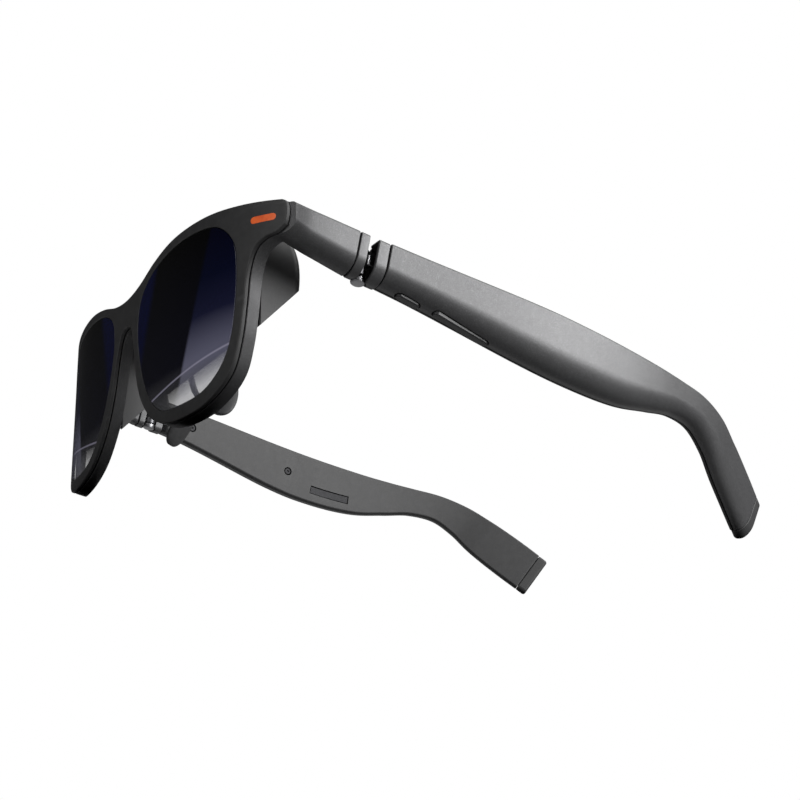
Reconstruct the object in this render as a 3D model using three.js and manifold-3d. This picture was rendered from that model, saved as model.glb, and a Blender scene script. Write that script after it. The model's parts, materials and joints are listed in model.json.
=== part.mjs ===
// Smart glasses with a display optic behind each lens. Millimetres, +Z up.
// The front faces -Y and +X is the wearer's left. Everything is laid out as worn, with x = 0 on
// the mid-plane, y = 0 at the front outer corner and z = 0 along the temples' straight top edge.
// The last lines tip the worn glasses back until the rims and the temple tips stand on z = 0.
import * as THREE from "three";
import { mergeVertices } from "three/addons/utils/BufferGeometryUtils.js";
import Module from "manifold-3d";

const wasm = await Module();
wasm.setup();

// Driving dimensions
const GAP = 0.3; // between neighbouring pieces
const ARM_X = 72; // front corner, from the mid-plane
const WRAP_2 = 0.00034; // face curvature, square term
const WRAP_4 = 0.392e-6; // face curvature, fourth-power term
const RAKE = 0.203; // the face leans back by this much for each mm down
const COVER_DEPTH = 1; // front cover thickness
const BAND_DEPTH = 4.2; // face to the back of the main frame
const LENS_NEAR = 0.1; // face to the front of the lens
const LENS_DEPTH = 0.8;
const LENS_CENTRE = [33.8, -20.5];
const LENS_HALF = [25, 21];
const ARM_OUT = 73.5; // outer face of the end arms
const ARM_THICK = 6.6;
const ARM_END = 19.2; // where the end-arm collar begins
const COLLAR_END = 21.9; // start of the hinge gap
const TEMPLE_START = 24.4; // end of the hinge gap
const SHELL_START = 27.4; // end of the temple collar
const WALL = 1.2; // shell walls
const STRIP = 8.03; // width of the flat strips that the wrapped face is made of
const HINGE = { x: 67.7, y: 23.2, z: -5.5, lean: 2.5 }; // pin centre and its inward lean in degrees
const PIN_R = 0.9;
const KNUCKLE_R = 1.7;
const OPTIC_REAR = 12.6; // rearmost line of the optics housings
const OPTIC_SLOPE = 1.58; // rise over run of their slanted underside
const OPTIC_TOP = -2;
// Focus slider: place of its centre at rest, travel outwards, and size
const SLIDER = { x: 32, travel: 6, length: 8.4, width: 3.2, height: 1.3, ribs: 5 };
const STEM_R = 0.9;
const REST_TILT = 5.87; // degrees from worn to standing on a table

const BLACK = "#1b1b1c";
const GRAPHITE = "#3a3a3c";
const STEEL = "#8d9094";
const GLASS = "#10131f";
const ACCENT = "#e2551a";
const BOARD = "#17402c";

// Each piece gets its own material and its name.
function piece(name, geometry, color, roughness = 0.5, metalness = 0) {
  const material = new THREE.MeshStandardMaterial({ color, roughness, metalness });
  const mesh = new THREE.Mesh(geometry, material);
  mesh.name = name;
  return mesh;
}

function toSolid(geometry) {
  const plain = geometry.index ? geometry.toNonIndexed() : geometry.clone();
  plain.deleteAttribute("normal");
  plain.deleteAttribute("uv");
  const merged = mergeVertices(plain, 1e-4);
  const vertProperties = new Float32Array(merged.attributes.position.array);
  const triVerts = new Uint32Array(merged.index.array);
  return new wasm.Manifold(new wasm.Mesh({ numProp: 3, vertProperties, triVerts }));
}

function toGeometry(solid) {
  const { vertProperties, triVerts } = solid.getMesh();
  const geometry = new THREE.BufferGeometry();
  geometry.setAttribute("position", new THREE.BufferAttribute(vertProperties, 3));
  geometry.setIndex(new THREE.BufferAttribute(triVerts, 1));
  geometry.computeVertexNormals();
  return geometry;
}

function cut(base, ...tools) {
  return toGeometry(tools.reduce((left, tool) => left.subtract(toSolid(tool)), toSolid(base)));
}

function join(base, ...more) {
  return toGeometry(more.reduce((left, other) => left.add(toSolid(other)), toSolid(base)));
}

// Turns every face round when the closed surface points inwards.
function outward(geometry) {
  const at = geometry.attributes.position;
  const index = geometry.index.array;
  const [a, b, c] = [new THREE.Vector3(), new THREE.Vector3(), new THREE.Vector3()];
  let volume = 0;
  for (let i = 0; i < index.length; i += 3) {
    a.fromBufferAttribute(at, index[i]);
    b.fromBufferAttribute(at, index[i + 1]);
    c.fromBufferAttribute(at, index[i + 2]);
    volume += a.dot(b.cross(c));
  }
  if (volume < 0) {
    for (let i = 0; i < index.length; i += 3) {
      [index[i + 1], index[i + 2]] = [index[i + 2], index[i + 1]];
    }
  }
  geometry.computeVertexNormals();
  return geometry;
}

// Skins a row of rings. Each ring has the corners of the same flat section, in order.
function loft(rings, section) {
  const count = rings[0].length;
  const last = (rings.length - 1) * count;
  const index = [];
  for (let row = 0; row < last; row += count) {
    for (let j = 0; j < count; j++) {
      const a = row + j;
      const b = row + ((j + 1) % count);
      index.push(a, b, a + count, b, b + count, a + count);
    }
  }
  const clockwise = THREE.ShapeUtils.isClockWise(section);
  for (const face of THREE.ShapeUtils.triangulateShape(section, [])) {
    const [a, b, c] = clockwise ? face.reverse() : face;
    index.push(a, c, b, last + a, last + b, last + c);
  }
  const geometry = new THREE.BufferGeometry().setFromPoints(rings.flat());
  geometry.setIndex(index);
  return outward(geometry);
}

function box(x0, x1, y0, y1, z0, z1) {
  const geometry = new THREE.BoxGeometry(x1 - x0, y1 - y0, z1 - z0);
  return geometry.translate((x0 + x1) / 2, (y0 + y1) / 2, (z0 + z1) / 2);
}

// An upright round bar.
function bar(x, y, z0, z1, radius, sides = 16) {
  const geometry = new THREE.CylinderGeometry(radius, radius, z1 - z0, sides);
  return geometry.rotateX(Math.PI / 2).translate(x, y, (z0 + z1) / 2);
}

// ---------------------------------------------------------------------------------------------
// Front: the wrapped face and everything that follows it

function faceY(x, z) {
  const u = x * x;
  const e = ARM_X * ARM_X;
  return WRAP_2 * (u - e) + WRAP_4 * (u * u - e * e) - RAKE * z + 0.2;
}

const points2 = (pairs) => pairs.map(([x, z]) => new THREE.Vector2(x, z));
const mirrored = (pairs) => pairs.map(([x, z]) => [-x, z]).reverse();

// Lower edge of the face from the bridge round the left rim to the left end.
const RIM_EDGE = [
  [3.6, -12.6], [6.2, -18], [9.4, -28], [14, -35.6], [22, -42.2], [32.7, -45.3], [44.5, -45.2],
  [52, -42.6], [57.2, -38], [59.6, -31], [60.8, -23], [61.6, -15.5], [63.4, -10.2], [66.2, -7.9],
  [69.2, -7], [71.3, -5.4],
];
// Upper edge from the left end to the bridge.
const BROW_EDGE = [[70.6, 0.8], [59.3, 1.7], [45.7, 2.5], [30.4, 2.2], [19.2, 0.3], [9, -2.6], [0, -3.6]];
const LENS_EDGE = [
  [50.6, -1.4], [56.8, -6.3], [58.4, -12.5], [58.2, -22.2], [56.5, -31.7], [52.2, -38.1],
  [44.3, -41.8], [30.3, -42], [21.5, -38.2], [14.6, -30.4], [10.3, -21], [8.9, -13.5],
  [10.6, -7], [16.7, -2.8], [26.4, -0.6], [38.6, 0],
];

function faceOutline(steps) {
  const shape = new THREE.Shape();
  const low = [...mirrored(RIM_EDGE), [0, -11.4], ...RIM_EDGE];
  const high = [...BROW_EDGE, ...mirrored(BROW_EDGE.slice(0, -1))];
  const along = (pairs) => new THREE.SplineCurve(points2(pairs)).getPoints((pairs.length - 1) * steps);
  const corner = new THREE.Vector2(72.6, 0.4);
  const round = (from, middle, to) => new THREE.QuadraticBezierCurve(from, middle, to).getPoints(4).slice(1, -1);
  const bottom = along(low);
  const top = along(high);
  const left = round(bottom.at(-1), corner, top[0]);
  const right = round(top.at(-1), corner.clone().setX(-corner.x), bottom[0]);
  shape.setFromPoints([...bottom, ...left, ...top, ...right]);
  return shape;
}

// The lens opening, drawn in by a margin.
function lensLoop(margin, steps, side = 1) {
  const [cx, cz] = LENS_CENTRE;
  const [sx, sz] = LENS_HALF.map((half) => 1 - margin / half);
  const ring = LENS_EDGE.map(([x, z]) => new THREE.Vector3(side * (cx + (x - cx) * sx), cz + (z - cz) * sz, 0));
  const loop = new THREE.CatmullRomCurve3(ring, true, "catmullrom", 0.5).getPoints(ring.length * steps).slice(0, -1);
  return loop.map((p) => new THREE.Vector2(p.x, p.y));
}

// The part of a triangle on one side of the plane at this x, as triangles.
function clipped(face, x, side) {
  const kept = [];
  face.forEach((p, i) => {
    const q = face[(i + 1) % 3];
    if ((p.x - x) * side >= 0) kept.push(p);
    if ((p.x - x) * (q.x - x) < 0) kept.push(p.clone().lerp(q, (x - p.x) / (q.x - p.x)));
  });
  return kept.slice(2).map((p, i) => [kept[0], kept[i + 1], p]);
}

// The triangles of a flat extrusion, split into narrow strips so that it bends smoothly.
function strips(flat) {
  const at = flat.attributes.position;
  let faces = [];
  for (let i = 0; i < at.count; i += 3) {
    faces.push([0, 1, 2].map((k) => new THREE.Vector3().fromBufferAttribute(at, i + k)));
  }
  for (let x = STRIP / 2 - 9 * STRIP; x < ARM_OUT; x += STRIP) {
    faces = faces.flatMap((face) => [...clipped(face, x, 1), ...clipped(face, x, -1)]);
  }
  return new THREE.BufferGeometry().setFromPoints(faces.flat());
}

// A sheet with the given outline, bent to lie from near to far behind the face.
function faceSheet(shape, near, far, dish = () => 0) {
  const flat = stripped(new THREE.ExtrudeGeometry(shape, { depth: 1, bevelEnabled: false }));
  const geometry = mergeVertices(strips(flat), 1e-4);
  const at = geometry.attributes.position;
  for (let i = 0; i < at.count; i++) {
    const [x, z, t] = [at.getX(i), at.getY(i), at.getZ(i)];
    at.setXYZ(i, x, faceY(x, z) + near + (far - near) * t + dish(x, z), z);
  }
  return outward(geometry);
}

function stripped(geometry) {
  geometry.deleteAttribute("normal");
  geometry.deleteAttribute("uv");
  return geometry;
}

function makeFrontCover() {
  const shape = faceOutline(2);
  shape.holes.push(new THREE.Path(lensLoop(0, 2)), new THREE.Path(lensLoop(0, 2, -1)));
  const pocket = faceSheet(accentShape(GAP), -1, 0.6);
  return cut(faceSheet(shape, 0, COVER_DEPTH), pocket);
}

// A plain round-ended bar on the left end of the face.
function accentShape(margin) {
  const [x0, x1, z, r] = [63.4, 68.4, -3.2, 0.9 + margin];
  const shape = new THREE.Shape();
  shape.absarc(x1, z, r, -Math.PI / 2, Math.PI / 2);
  shape.absarc(x0, z, r, Math.PI / 2, (3 * Math.PI) / 2);
  return shape;
}

function makeAccent() {
  return faceSheet(accentShape(0), 0, 0.3);
}

function makeLens() {
  return faceSheet(new THREE.Shape(lensLoop(GAP, 2)), LENS_NEAR, LENS_NEAR + LENS_DEPTH);
}

// Concave half mirror between the lens and the optics housing.
function makeCombiner() {
  const [cx, cz] = [35, -17];
  const shape = new THREE.Shape();
  shape.absellipse(cx, cz, 20, 12.5, 0, Math.PI * 2);
  const dish = (x, z) => 0.002 * ((x - cx) ** 2 + (z - cz) ** 2);
  return faceSheet(shape, 2, 3, dish);
}

// Closed section of the arms and temples: u runs outwards from -thick to 0 and v is up from the
// middle. The upper corners are tight and the outer lower corner is a long elliptical sweep.
function armSection(height, thick, inset = 0) {
  const half = height / 2;
  const low = { u: 0.62 * thick, v: 0.42 * height };
  const corners = [
    { u: -0.8, v: half - 0.8, ru: 0.8, rv: 0.8, from: 90 },
    { u: -low.u, v: low.v - half, ru: low.u, rv: low.v, from: 0 },
    { u: 1.4 - thick, v: 1.4 - half, ru: 1.4, rv: 1.4, from: -90 },
    { u: 0.8 - thick, v: half - 0.8, ru: 0.8, rv: 0.8, from: -180 },
  ];
  const section = [];
  for (const { u, v, ru, rv, from } of corners) {
    const steps = ru > 2 ? 5 : 2;
    for (let i = 0; i <= steps; i++) {
      const a = THREE.MathUtils.degToRad(from - (90 * i) / steps);
      const rim = [u + Math.max(ru - inset, 0.1) * Math.cos(a), v + Math.max(rv - inset, 0.1) * Math.sin(a)];
      section.push(new THREE.Vector2(...rim));
    }
  }
  return section;
}

// End arm: starts behind the front cover and drops to full height within a few millimetres.
function makeEndArm() {
  const stations = [
    { y: null, top: 0.5, low: -7, out: ARM_OUT - 0.7 },
    { y: 6.4, top: 0.1, low: -8.5, out: ARM_OUT - 0.2 },
    { y: 12, top: 0, low: -9.4, out: ARM_OUT },
    { y: ARM_END, top: 0, low: -10.3, out: ARM_OUT },
  ];
  const rings = stations.map(({ y, top, low, out }) => {
    const section = armSection(top - low, ARM_THICK);
    return section.map(({ x: u, y: v }) => {
      const [x, z] = [out + u, (top + low) / 2 + v];
      return new THREE.Vector3(x, y ?? faceY(x, z) + COVER_DEPTH + GAP, z);
    });
  });
  const arm = loft(rings, armSection(ARM_THICK, ARM_THICK));
  const pocket = box(HINGE.x + 0.1, ARM_OUT - 2, 14, ARM_END + 1, -8.7, -1.6);
  return cut(arm, pocket);
}

function makeMainFrame() {
  const shape = faceOutline(2);
  shape.holes.push(new THREE.Path(lensLoop(WALL, 2)), new THREE.Path(lensLoop(WALL, 2, -1)));
  const band = faceSheet(shape, COVER_DEPTH + GAP, BAND_DEPTH);
  const left = makeEndArm();
  const right = outward(left.clone().scale(-1, 1, 1));
  return join(band, left, right);
}

// ---------------------------------------------------------------------------------------------
// Optics behind each lens

// Rearmost y of the housing: its outer back corner is rounded off.
function opticRear(x) {
  const [start, radius] = [58.9, 2];
  const past = Math.max(0, x - start);
  return OPTIC_REAR - radius + Math.sqrt(radius * radius - Math.min(past, radius) ** 2);
}

// Height of the slanted underside at a depth y.
const slantZ = (y) => -13.5 - (OPTIC_REAR - y) * OPTIC_SLOPE;

// Lowest point where the slanted underside meets a surface this far behind the face.
function slantFoot(x, behind) {
  let y = 0;
  for (let i = 0; i < 30; i++) y = faceY(x, slantZ(y)) + behind;
  return { y, z: slantZ(y) };
}

function makeHousing() {
  const shell = [11.8, 16, 24, 34, 44, 52, 56, 58.9, 59.9, 60.5, 60.9].map((x) => {
    const rear = opticRear(x);
    const foot = slantFoot(x, BAND_DEPTH + GAP);
    return [
      new THREE.Vector3(x, faceY(x, OPTIC_TOP) + BAND_DEPTH + GAP, OPTIC_TOP),
      new THREE.Vector3(x, rear - 6.5, OPTIC_TOP),
      new THREE.Vector3(x, rear - 3.6, OPTIC_TOP - 2.4),
      new THREE.Vector3(x, rear, slantZ(rear)),
      new THREE.Vector3(x, foot.y, foot.z),
    ];
  });
  const hollow = [13, 20, 30, 40, 50, 56, 59.6].map((x) => {
    const rear = opticRear(x) - WALL;
    const top = OPTIC_TOP - WALL;
    return [
      new THREE.Vector3(x, faceY(x, top) + BAND_DEPTH - 1, top),
      new THREE.Vector3(x, rear - 5.9, top),
      new THREE.Vector3(x, rear - 3.4, top - 2),
      new THREE.Vector3(x, rear, slantZ(rear) + 0.5),
      new THREE.Vector3(x, rear, slantZ(rear) - 3),
      new THREE.Vector3(x, faceY(x, -40) + BAND_DEPTH - 1, -40),
    ];
  });
  const flat = (ring) => ring.map((p) => new THREE.Vector2(p.y, p.z));
  const [x0, x1] = [SLIDER.x - STEM_R - GAP, SLIDER.x + SLIDER.travel + STEM_R + GAP];
  const slot = box(x0, x1, -STEM_R - GAP, STEM_R + GAP, OPTIC_TOP - 4, OPTIC_TOP + 2);
  return cut(loft(shell, flat(shell[0])), loft(hollow, flat(hollow[0])), slot);
}

// Half-silvered plate along the slanted opening.
function makeBeamSplitter() {
  const rings = [13.3, 20, 30, 40, 50, 56, 59.3].map((x) => {
    const rear = opticRear(x) - WALL - 0.6;
    const foot = slantFoot(x, BAND_DEPTH + 0.7);
    const corner = (y, lift) => new THREE.Vector3(x, y, slantZ(y) + lift);
    return [corner(rear, 0.3), corner(rear - 0.9, 1.8), corner(foot.y - 0.2, 1.8), corner(foot.y, 0.3)];
  });
  return loft(rings, rings[0].map((p) => new THREE.Vector2(p.y, p.z)));
}

function makeDisplay() {
  return box(25, 45, -4, 4, -5, -3.6);
}

// Plano-convex lens under the display.
function makeDisplayLens() {
  const profile = [[0, 0], [6.2, 0], [6.2, -0.8], [5.2, -1.5], [3.6, -2.2], [1.8, -2.7], [0, -2.9]];
  const lathe = new THREE.LatheGeometry(points2(profile).reverse(), 20);
  return outward(mergeVertices(stripped(lathe), 1e-4)).rotateX(Math.PI / 2).scale(1.7, 0.75, 1).translate(35, 0, -6.6);
}

// Ribbed thumb piece on a stem that goes through the slot in the housing's roof.
function makeFocusSlider() {
  const { length, width, height, ribs } = SLIDER;
  const body = pill(length, width, GAP, GAP + height).rotateZ(Math.PI / 2);
  const stem = bar(0, 0, -1.3, GAP + 0.2, STEM_R);
  const rows = Array.from({ length: ribs }, (_, i) => {
    const x = (i - (ribs - 1) / 2) * 1.1;
    return box(x - 0.3, x + 0.3, -1.1, 1.1, height, GAP + height + 0.3);
  });
  return join(body, stem, ...rows);
}

// ---------------------------------------------------------------------------------------------
// Bridge and nose

function makeBridgeCover() {
  const outer = [
    [-10.6, -2], [10.6, -2], [10.6, -9], [5.2, -12.4], [-5.2, -12.4], [-10.6, -9],
  ];
  const shell = outline(outer);
  const inner = outline(outer.map(([x, z]) => [x * 0.88, -6.6 + (z + 6.6) * 0.76]));
  return cut(bridgeBlock(shell, 1.6), bridgeBlock(inner, 0.4, BAND_DEPTH - 1));
}

const outline = (pairs) => new THREE.Shape(points2(pairs));

// A block from the back of the main frame to a flat rear face at y = rear.
function bridgeBlock(shape, rear, behind = BAND_DEPTH + GAP) {
  const flat = mergeVertices(stripped(new THREE.ExtrudeGeometry(shape, { depth: 1, bevelEnabled: false })), 1e-4);
  const at = flat.attributes.position;
  for (let i = 0; i < at.count; i++) {
    const [x, z, t] = [at.getX(i), at.getY(i), at.getZ(i)];
    at.setXYZ(i, x, t < 0.5 ? faceY(x, z) + behind : rear, z);
  }
  return outward(flat);
}

const PAD = { x: 14, y: 16.4, z: -26, lean: 24, turn: 28 }; // centre, lean and turn in degrees

function makeNoseBracket() {
  const plate = box(-6.5, 6.5, 1.9, 3.7, -11.5, -4);
  const wires = [1, -1].map((side) => {
    const route = [[4.5, 2.7, -8], [7.2, 2.7, -12.6], [9, 6, -18.4], [9.8, 9.7, -26], [14.2, 11.9, -29.8]];
    const path = new THREE.CatmullRomCurve3(route.map(([x, y, z]) => new THREE.Vector3(side * x, y, z)));
    const section = new THREE.Shape();
    section.absarc(0, 0, 0.8, 0, Math.PI * 2);
    return new THREE.ExtrudeGeometry(section, { steps: 8, curveSegments: 4, extrudePath: path, bevelEnabled: false });
  });
  return join(plate, ...wires);
}

// Soft oval pad, thicker in the middle, whose inner face looks at the nose.
function makeNosePad() {
  const pad = new THREE.SphereGeometry(1, 16, 10);
  return pad.scale(1.3, 3.6, 7.6);
}

// ---------------------------------------------------------------------------------------------
// Hinge

function makeCollar(y0, y1, low) {
  const outer = armSection(-low, ARM_THICK);
  const inner = armSection(-low, ARM_THICK, 0.9);
  const shape = new THREE.Shape(outer);
  shape.holes.push(new THREE.Path(inner.reverse()));
  const ring = new THREE.ExtrudeGeometry(shape, { depth: y1 - y0, bevelEnabled: false });
  ring.rotateX(Math.PI / 2).translate(ARM_OUT, y1, low / 2);
  return cut(ring, hingeClearance());
}

function hingeClearance() {
  return leaned(new THREE.CylinderGeometry(2.1, 2.1, 18, 20).rotateX(Math.PI / 2));
}

// Puts a piece made round the origin on the hinge pin, leaning inwards at the top.
function leaned(geometry) {
  return geometry.rotateY(THREE.MathUtils.degToRad(-HINGE.lean)).translate(HINGE.x, HINGE.y, HINGE.z);
}

// Two outer knuckles on a tongue that goes through the collar into the end arm.
function makeHingeBracket() {
  const tongue = box(0.6, 3.3, -8.4, -2.1, -2.8, 3.4);
  const knuckles = [[-3.5, -1.5], [1.8, 4.1]].flatMap(([z0, z1]) => [
    bar(0, 0, z0, z1, KNUCKLE_R),
    box(0.6, 2.4, -2.6, 0, z0, z1),
  ]);
  return leaned(cut(join(tongue, ...knuckles), bar(0, 0, -9, 9, PIN_R + 0.1)));
}

const LEAF_Z = [-1.2, 1.5]; // from the pin centre

// The middle knuckle with an arm that goes into the temple.
function makeHingeLeaf() {
  const arm = box(1.6, 3.5, 0, 10, LEAF_Z[0], LEAF_Z[1]);
  const web = box(0, 3.5, 0.2, 2.1, LEAF_Z[0], LEAF_Z[1]);
  return leaned(cut(join(bar(0, 0, ...LEAF_Z, KNUCKLE_R), web, arm), bar(0, 0, -9, 9, PIN_R + 0.1)));
}

function makeHingePin() {
  const head = new THREE.LatheGeometry(points2([[0, -5.2], [1.4, -5.2], [1.8, -4.8], [1.8, -3.8], [0, -3.8]]), 20);
  const cap = outward(mergeVertices(stripped(head), 1e-4)).rotateX(Math.PI / 2);
  return leaned(join(bar(0, 0, -4, 4.3, PIN_R), cap));
}

// ---------------------------------------------------------------------------------------------
// Temples

// Along each temple: y, outer face x, middle z, height and thickness of the section.
const TEMPLE = [
  { y: 6, x: 73.4, z: -4.7, h: 9.4, t: 6.6 },
  { y: 34, x: 74, z: -5.3, h: 10.8, t: 6.6 },
  { y: 68, x: 76.2, z: -7.7, h: 14.9, t: 6.8 },
  { y: 85, x: 76.2, z: -8.3, h: 15.6, t: 6.8 },
  { y: 100, x: 75, z: -7.9, h: 14.6, t: 6.6 },
  { y: 112, x: 73.2, z: -6.4, h: 11.8, t: 6.2 },
  { y: 122, x: 71, z: -5.1, h: 9.4, t: 5.8 },
  { y: 132, x: 68.4, z: -5.2, h: 9.4, t: 5.6 },
  { y: 141, x: 65.3, z: -8.1, h: 11.6, t: 5.4 },
  { y: 149, x: 61.7, z: -12.7, h: 13.8, t: 5.2 },
  { y: 158, x: 57.6, z: -17.8, h: 14.6, t: 5 },
  { y: 166, x: 54, z: -22.4, h: 14.4, t: 5 },
];
const CAP_AT = TEMPLE.length - 1.28; // where the tip piece begins, counted in stations

// Smooth value of one column at a fractional station.
function along(key, s) {
  const i = Math.min(Math.max(Math.floor(s), 0), TEMPLE.length - 2);
  const w = s - i;
  const at = (k) => TEMPLE[Math.min(Math.max(k, 0), TEMPLE.length - 1)][key];
  const [a, b, c, d] = [at(i - 1), at(i), at(i + 1), at(i + 2)];
  const slope0 = (c - a) / 2;
  const slope1 = (d - b) / 2;
  return b + w * (slope0 + w * (3 * (c - b) - 2 * slope0 - slope1 + w * (slope0 + slope1 - 2 * (c - b))));
}

// Fractional station at which the outer face reaches a depth y.
function stationAt(y) {
  let [low, high] = [0, TEMPLE.length - 1];
  for (let i = 0; i < 40; i++) {
    const middle = (low + high) / 2;
    [low, high] = along("y", middle) < y ? [middle, high] : [low, middle];
  }
  return low;
}

// Origin and axes of the section at a station: out and up lie square to the temple's run.
function sectionFrame(s) {
  const at = (k) => new THREE.Vector3(along("x", k), along("y", k), along("z", k));
  const run = at(s + 0.02).sub(at(s - 0.02)).normalize();
  if (s < 1) run.set(0, 1, 0);
  const out = run.clone().cross(new THREE.Vector3(0, 0, 1)).normalize();
  const up = out.clone().cross(run);
  return { origin: at(s), out, up, run };
}

function placeSection(s, section) {
  const { origin, out, up } = sectionFrame(s);
  return section.map(({ x: u, y: v }) => origin.clone().addScaledVector(out, u).addScaledVector(up, v));
}

// Evenly spaced stations, both ends included.
function stationsBetween(from, to, count) {
  return Array.from({ length: count + 1 }, (_, i) => from + ((to - from) * i) / count);
}

function sweep(from, to, count, sectionOf) {
  const stations = stationsBetween(from, to, count);
  const rings = stations.map((s) => placeSection(s, sectionOf(s)));
  return loft(rings, sectionOf(from));
}

const COVER_T = 1.3; // the inner cover's share of the temple's thickness

// Channel section, open towards the head.
function shellSection(s) {
  const [h, t] = [along("h", s), along("t", s)];
  const edge = COVER_T - t;
  const outer = armSection(h, t).filter((p) => p.x > edge + 0.05);
  const low = { u: 0.62 * t, v: 0.42 * h };
  const inside = [
    [edge, WALL - h / 2], [-low.u, WALL - h / 2], [0.3 * -low.u - WALL, 0.3 * low.v - h / 2 + WALL / 2],
    [-WALL, low.v - h / 2], [-WALL, h / 2 - WALL], [edge, h / 2 - WALL],
  ];
  const section = [[edge, h / 2], ...outer.map((p) => [p.x, p.y]), [edge, -h / 2], ...inside];
  return section.map(([u, v]) => new THREE.Vector2(u, v));
}

function coverSection(s) {
  const [h, t] = [along("h", s), along("t", s)];
  const edge = COVER_T - t - GAP;
  const [top, low] = [h / 2, -h / 2];
  const pairs = [[edge, top], [edge, low], [0.5 - t, low], [-t, low + 0.8], [-t, top - 0.5], [0.4 - t, top]];
  return pairs.map(([u, v]) => new THREE.Vector2(u, v));
}

// A round-ended bar standing on its end, along +y.
function pill(length, width, z0, z1) {
  const [half, r] = [length / 2 - width / 2, width / 2];
  const shape = new THREE.Shape();
  shape.absarc(0, half, r, 0, Math.PI);
  shape.absarc(0, -half, r, Math.PI, 2 * Math.PI);
  const geometry = new THREE.ExtrudeGeometry(shape, { depth: z1 - z0, bevelEnabled: false, curveSegments: 6 });
  return geometry.translate(0, 0, z0);
}

const BUTTONS = {
  function_button: { y: 36.2, length: 6.6 },
  rocker_button: { y: 51.4, length: 16.3 },
};
const BUTTON_WIDTH = 2.2;

// Places a piece made round the origin on the underside of the temple at depth y.
function underTemple(geometry, y) {
  const foot = (depth) => {
    const s = stationAt(depth);
    const { origin, up } = sectionFrame(s);
    return origin.addScaledVector(up, -along("h", s) / 2);
  };
  const slope = foot(y + 1).sub(foot(y - 1));
  const { x, y: middle, z } = foot(y);
  return geometry.rotateX(Math.atan2(slope.z, slope.y)).translate(x - 3.9, middle, z);
}

function buttonHoles() {
  const hole = ({ y, length }) => underTemple(pill(length + 2 * GAP, BUTTON_WIDTH + 2 * GAP, -2, 3.4), y);
  return Object.values(BUTTONS).map(hole);
}

function makeTempleShell(withButtons) {
  const straight = stationAt(SHELL_START + GAP);
  const shell = sweep(straight, CAP_AT, 24, shellSection);
  return withButtons ? cut(shell, ...buttonHoles()) : shell;
}

const SCREWS = [37, 74]; // depths of the inner cover's screws

function screwBar(y, u0, u1, radius) {
  const { origin, out } = sectionFrame(stationAt(y));
  const geometry = new THREE.CylinderGeometry(radius, radius, u1 - u0, 12).translate(0, (u0 + u1) / 2, 0);
  const turn = new THREE.Quaternion().setFromUnitVectors(new THREE.Vector3(0, 1, 0), out);
  return geometry.applyQuaternion(turn).translate(origin.x, origin.y, origin.z);
}

function makeScrew(y) {
  const t = along("t", stationAt(y));
  return join(screwBar(y, 0.1 - t, 0.7 - t, 1.1), screwBar(y, 0.4 - t, 2.8 - t, 0.6));
}

const GRILLE = { from: 84, to: 98, slots: 6 };

function makeInnerCover() {
  const cover = sweep(stationAt(SHELL_START + GAP), CAP_AT, 24, coverSection);
  const holes = SCREWS.map((y) => screwBar(y, -9, -3, 1.4));
  return cut(cover, ...holes, grilleBlock(-9, -3, GAP));
}

// The block that the speaker grille fills, low on the inner side.
function grilleBlock(u0, u1, margin) {
  const [from, to] = [stationAt(GRILLE.from - margin), stationAt(GRILLE.to + margin)];
  const section = () => {
    const [v0, v1] = [-4.4 - margin, -2.2 + margin];
    return [[u0, v0], [u1, v0], [u1, v1], [u0, v1]].map(([u, v]) => new THREE.Vector2(u, v));
  };
  return sweep(from, to, 4, section);
}

function makeGrille() {
  const t = along("t", stationAt(91));
  const plate = grilleBlock(0.25 - t, 1 - t, 0);
  const step = (GRILLE.to - GRILLE.from) / GRILLE.slots;
  const slots = Array.from({ length: GRILLE.slots }, (_, i) => {
    const y = GRILLE.from + (i + 0.5) * step;
    const { origin } = sectionFrame(stationAt(y));
    return box(origin.x - 12, origin.x, y - 0.5, y + 0.5, origin.z - 3.9, origin.z - 2.7);
  });
  return cut(plate, ...slots);
}

function makeSpeaker() {
  return sweep(stationAt(84), stationAt(98), 3, () => insideBox(3.4, 1.6, 6, -1));
}

function makeBoard() {
  return sweep(stationAt(40), stationAt(80), 6, () => insideBox(2.9, 2, 3.4, -2.6));
}

// A rectangle inside the temple's cavity: from the outer face inwards, and from v0 to v1.
function insideBox(inner, outer, top, low) {
  return [[-inner, low], [-outer, low], [-outer, top], [-inner, top]].map(([u, v]) => new THREE.Vector2(u, v));
}

// The tip draws in over its last millimetre and ends in a flat face.
function makeTip(length) {
  const s = CAP_AT + 0.04;
  const { run } = sectionFrame(s);
  const section = armSection(along("h", s), along("t", s));
  const middle = -along("t", s) / 2;
  const ring = (reach, scale) => {
    const drawn = section.map((p) => new THREE.Vector2(middle + (p.x - middle) * scale, p.y * (1 + scale) / 2));
    return placeSection(s, drawn).map((p) => p.addScaledVector(run, reach));
  };
  return loft([ring(0, 1), ring(length - 1, 1), ring(length - 0.3, 0.94), ring(length, 0.8)], section);
}

const TIP_LENGTH = 3.2;

// Frame on the tip's end face, for what sits in it.
function onTipFace(geometry) {
  const s = CAP_AT + 0.04;
  const { origin, out, up, run } = sectionFrame(s);
  const middle = origin.clone().addScaledVector(out, -along("t", s) / 2).addScaledVector(run, TIP_LENGTH);
  const basis = new THREE.Matrix4().makeBasis(out, run, up).setPosition(middle);
  return outward(mergeVertices(stripped(geometry), 1e-4).applyMatrix4(basis));
}

function makeConnectorTip() {
  const recess = onTipFace(box(-1.1, 1.1, -1.2, 1, -3.9, 3.9));
  return cut(makeTip(TIP_LENGTH), recess);
}

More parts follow.
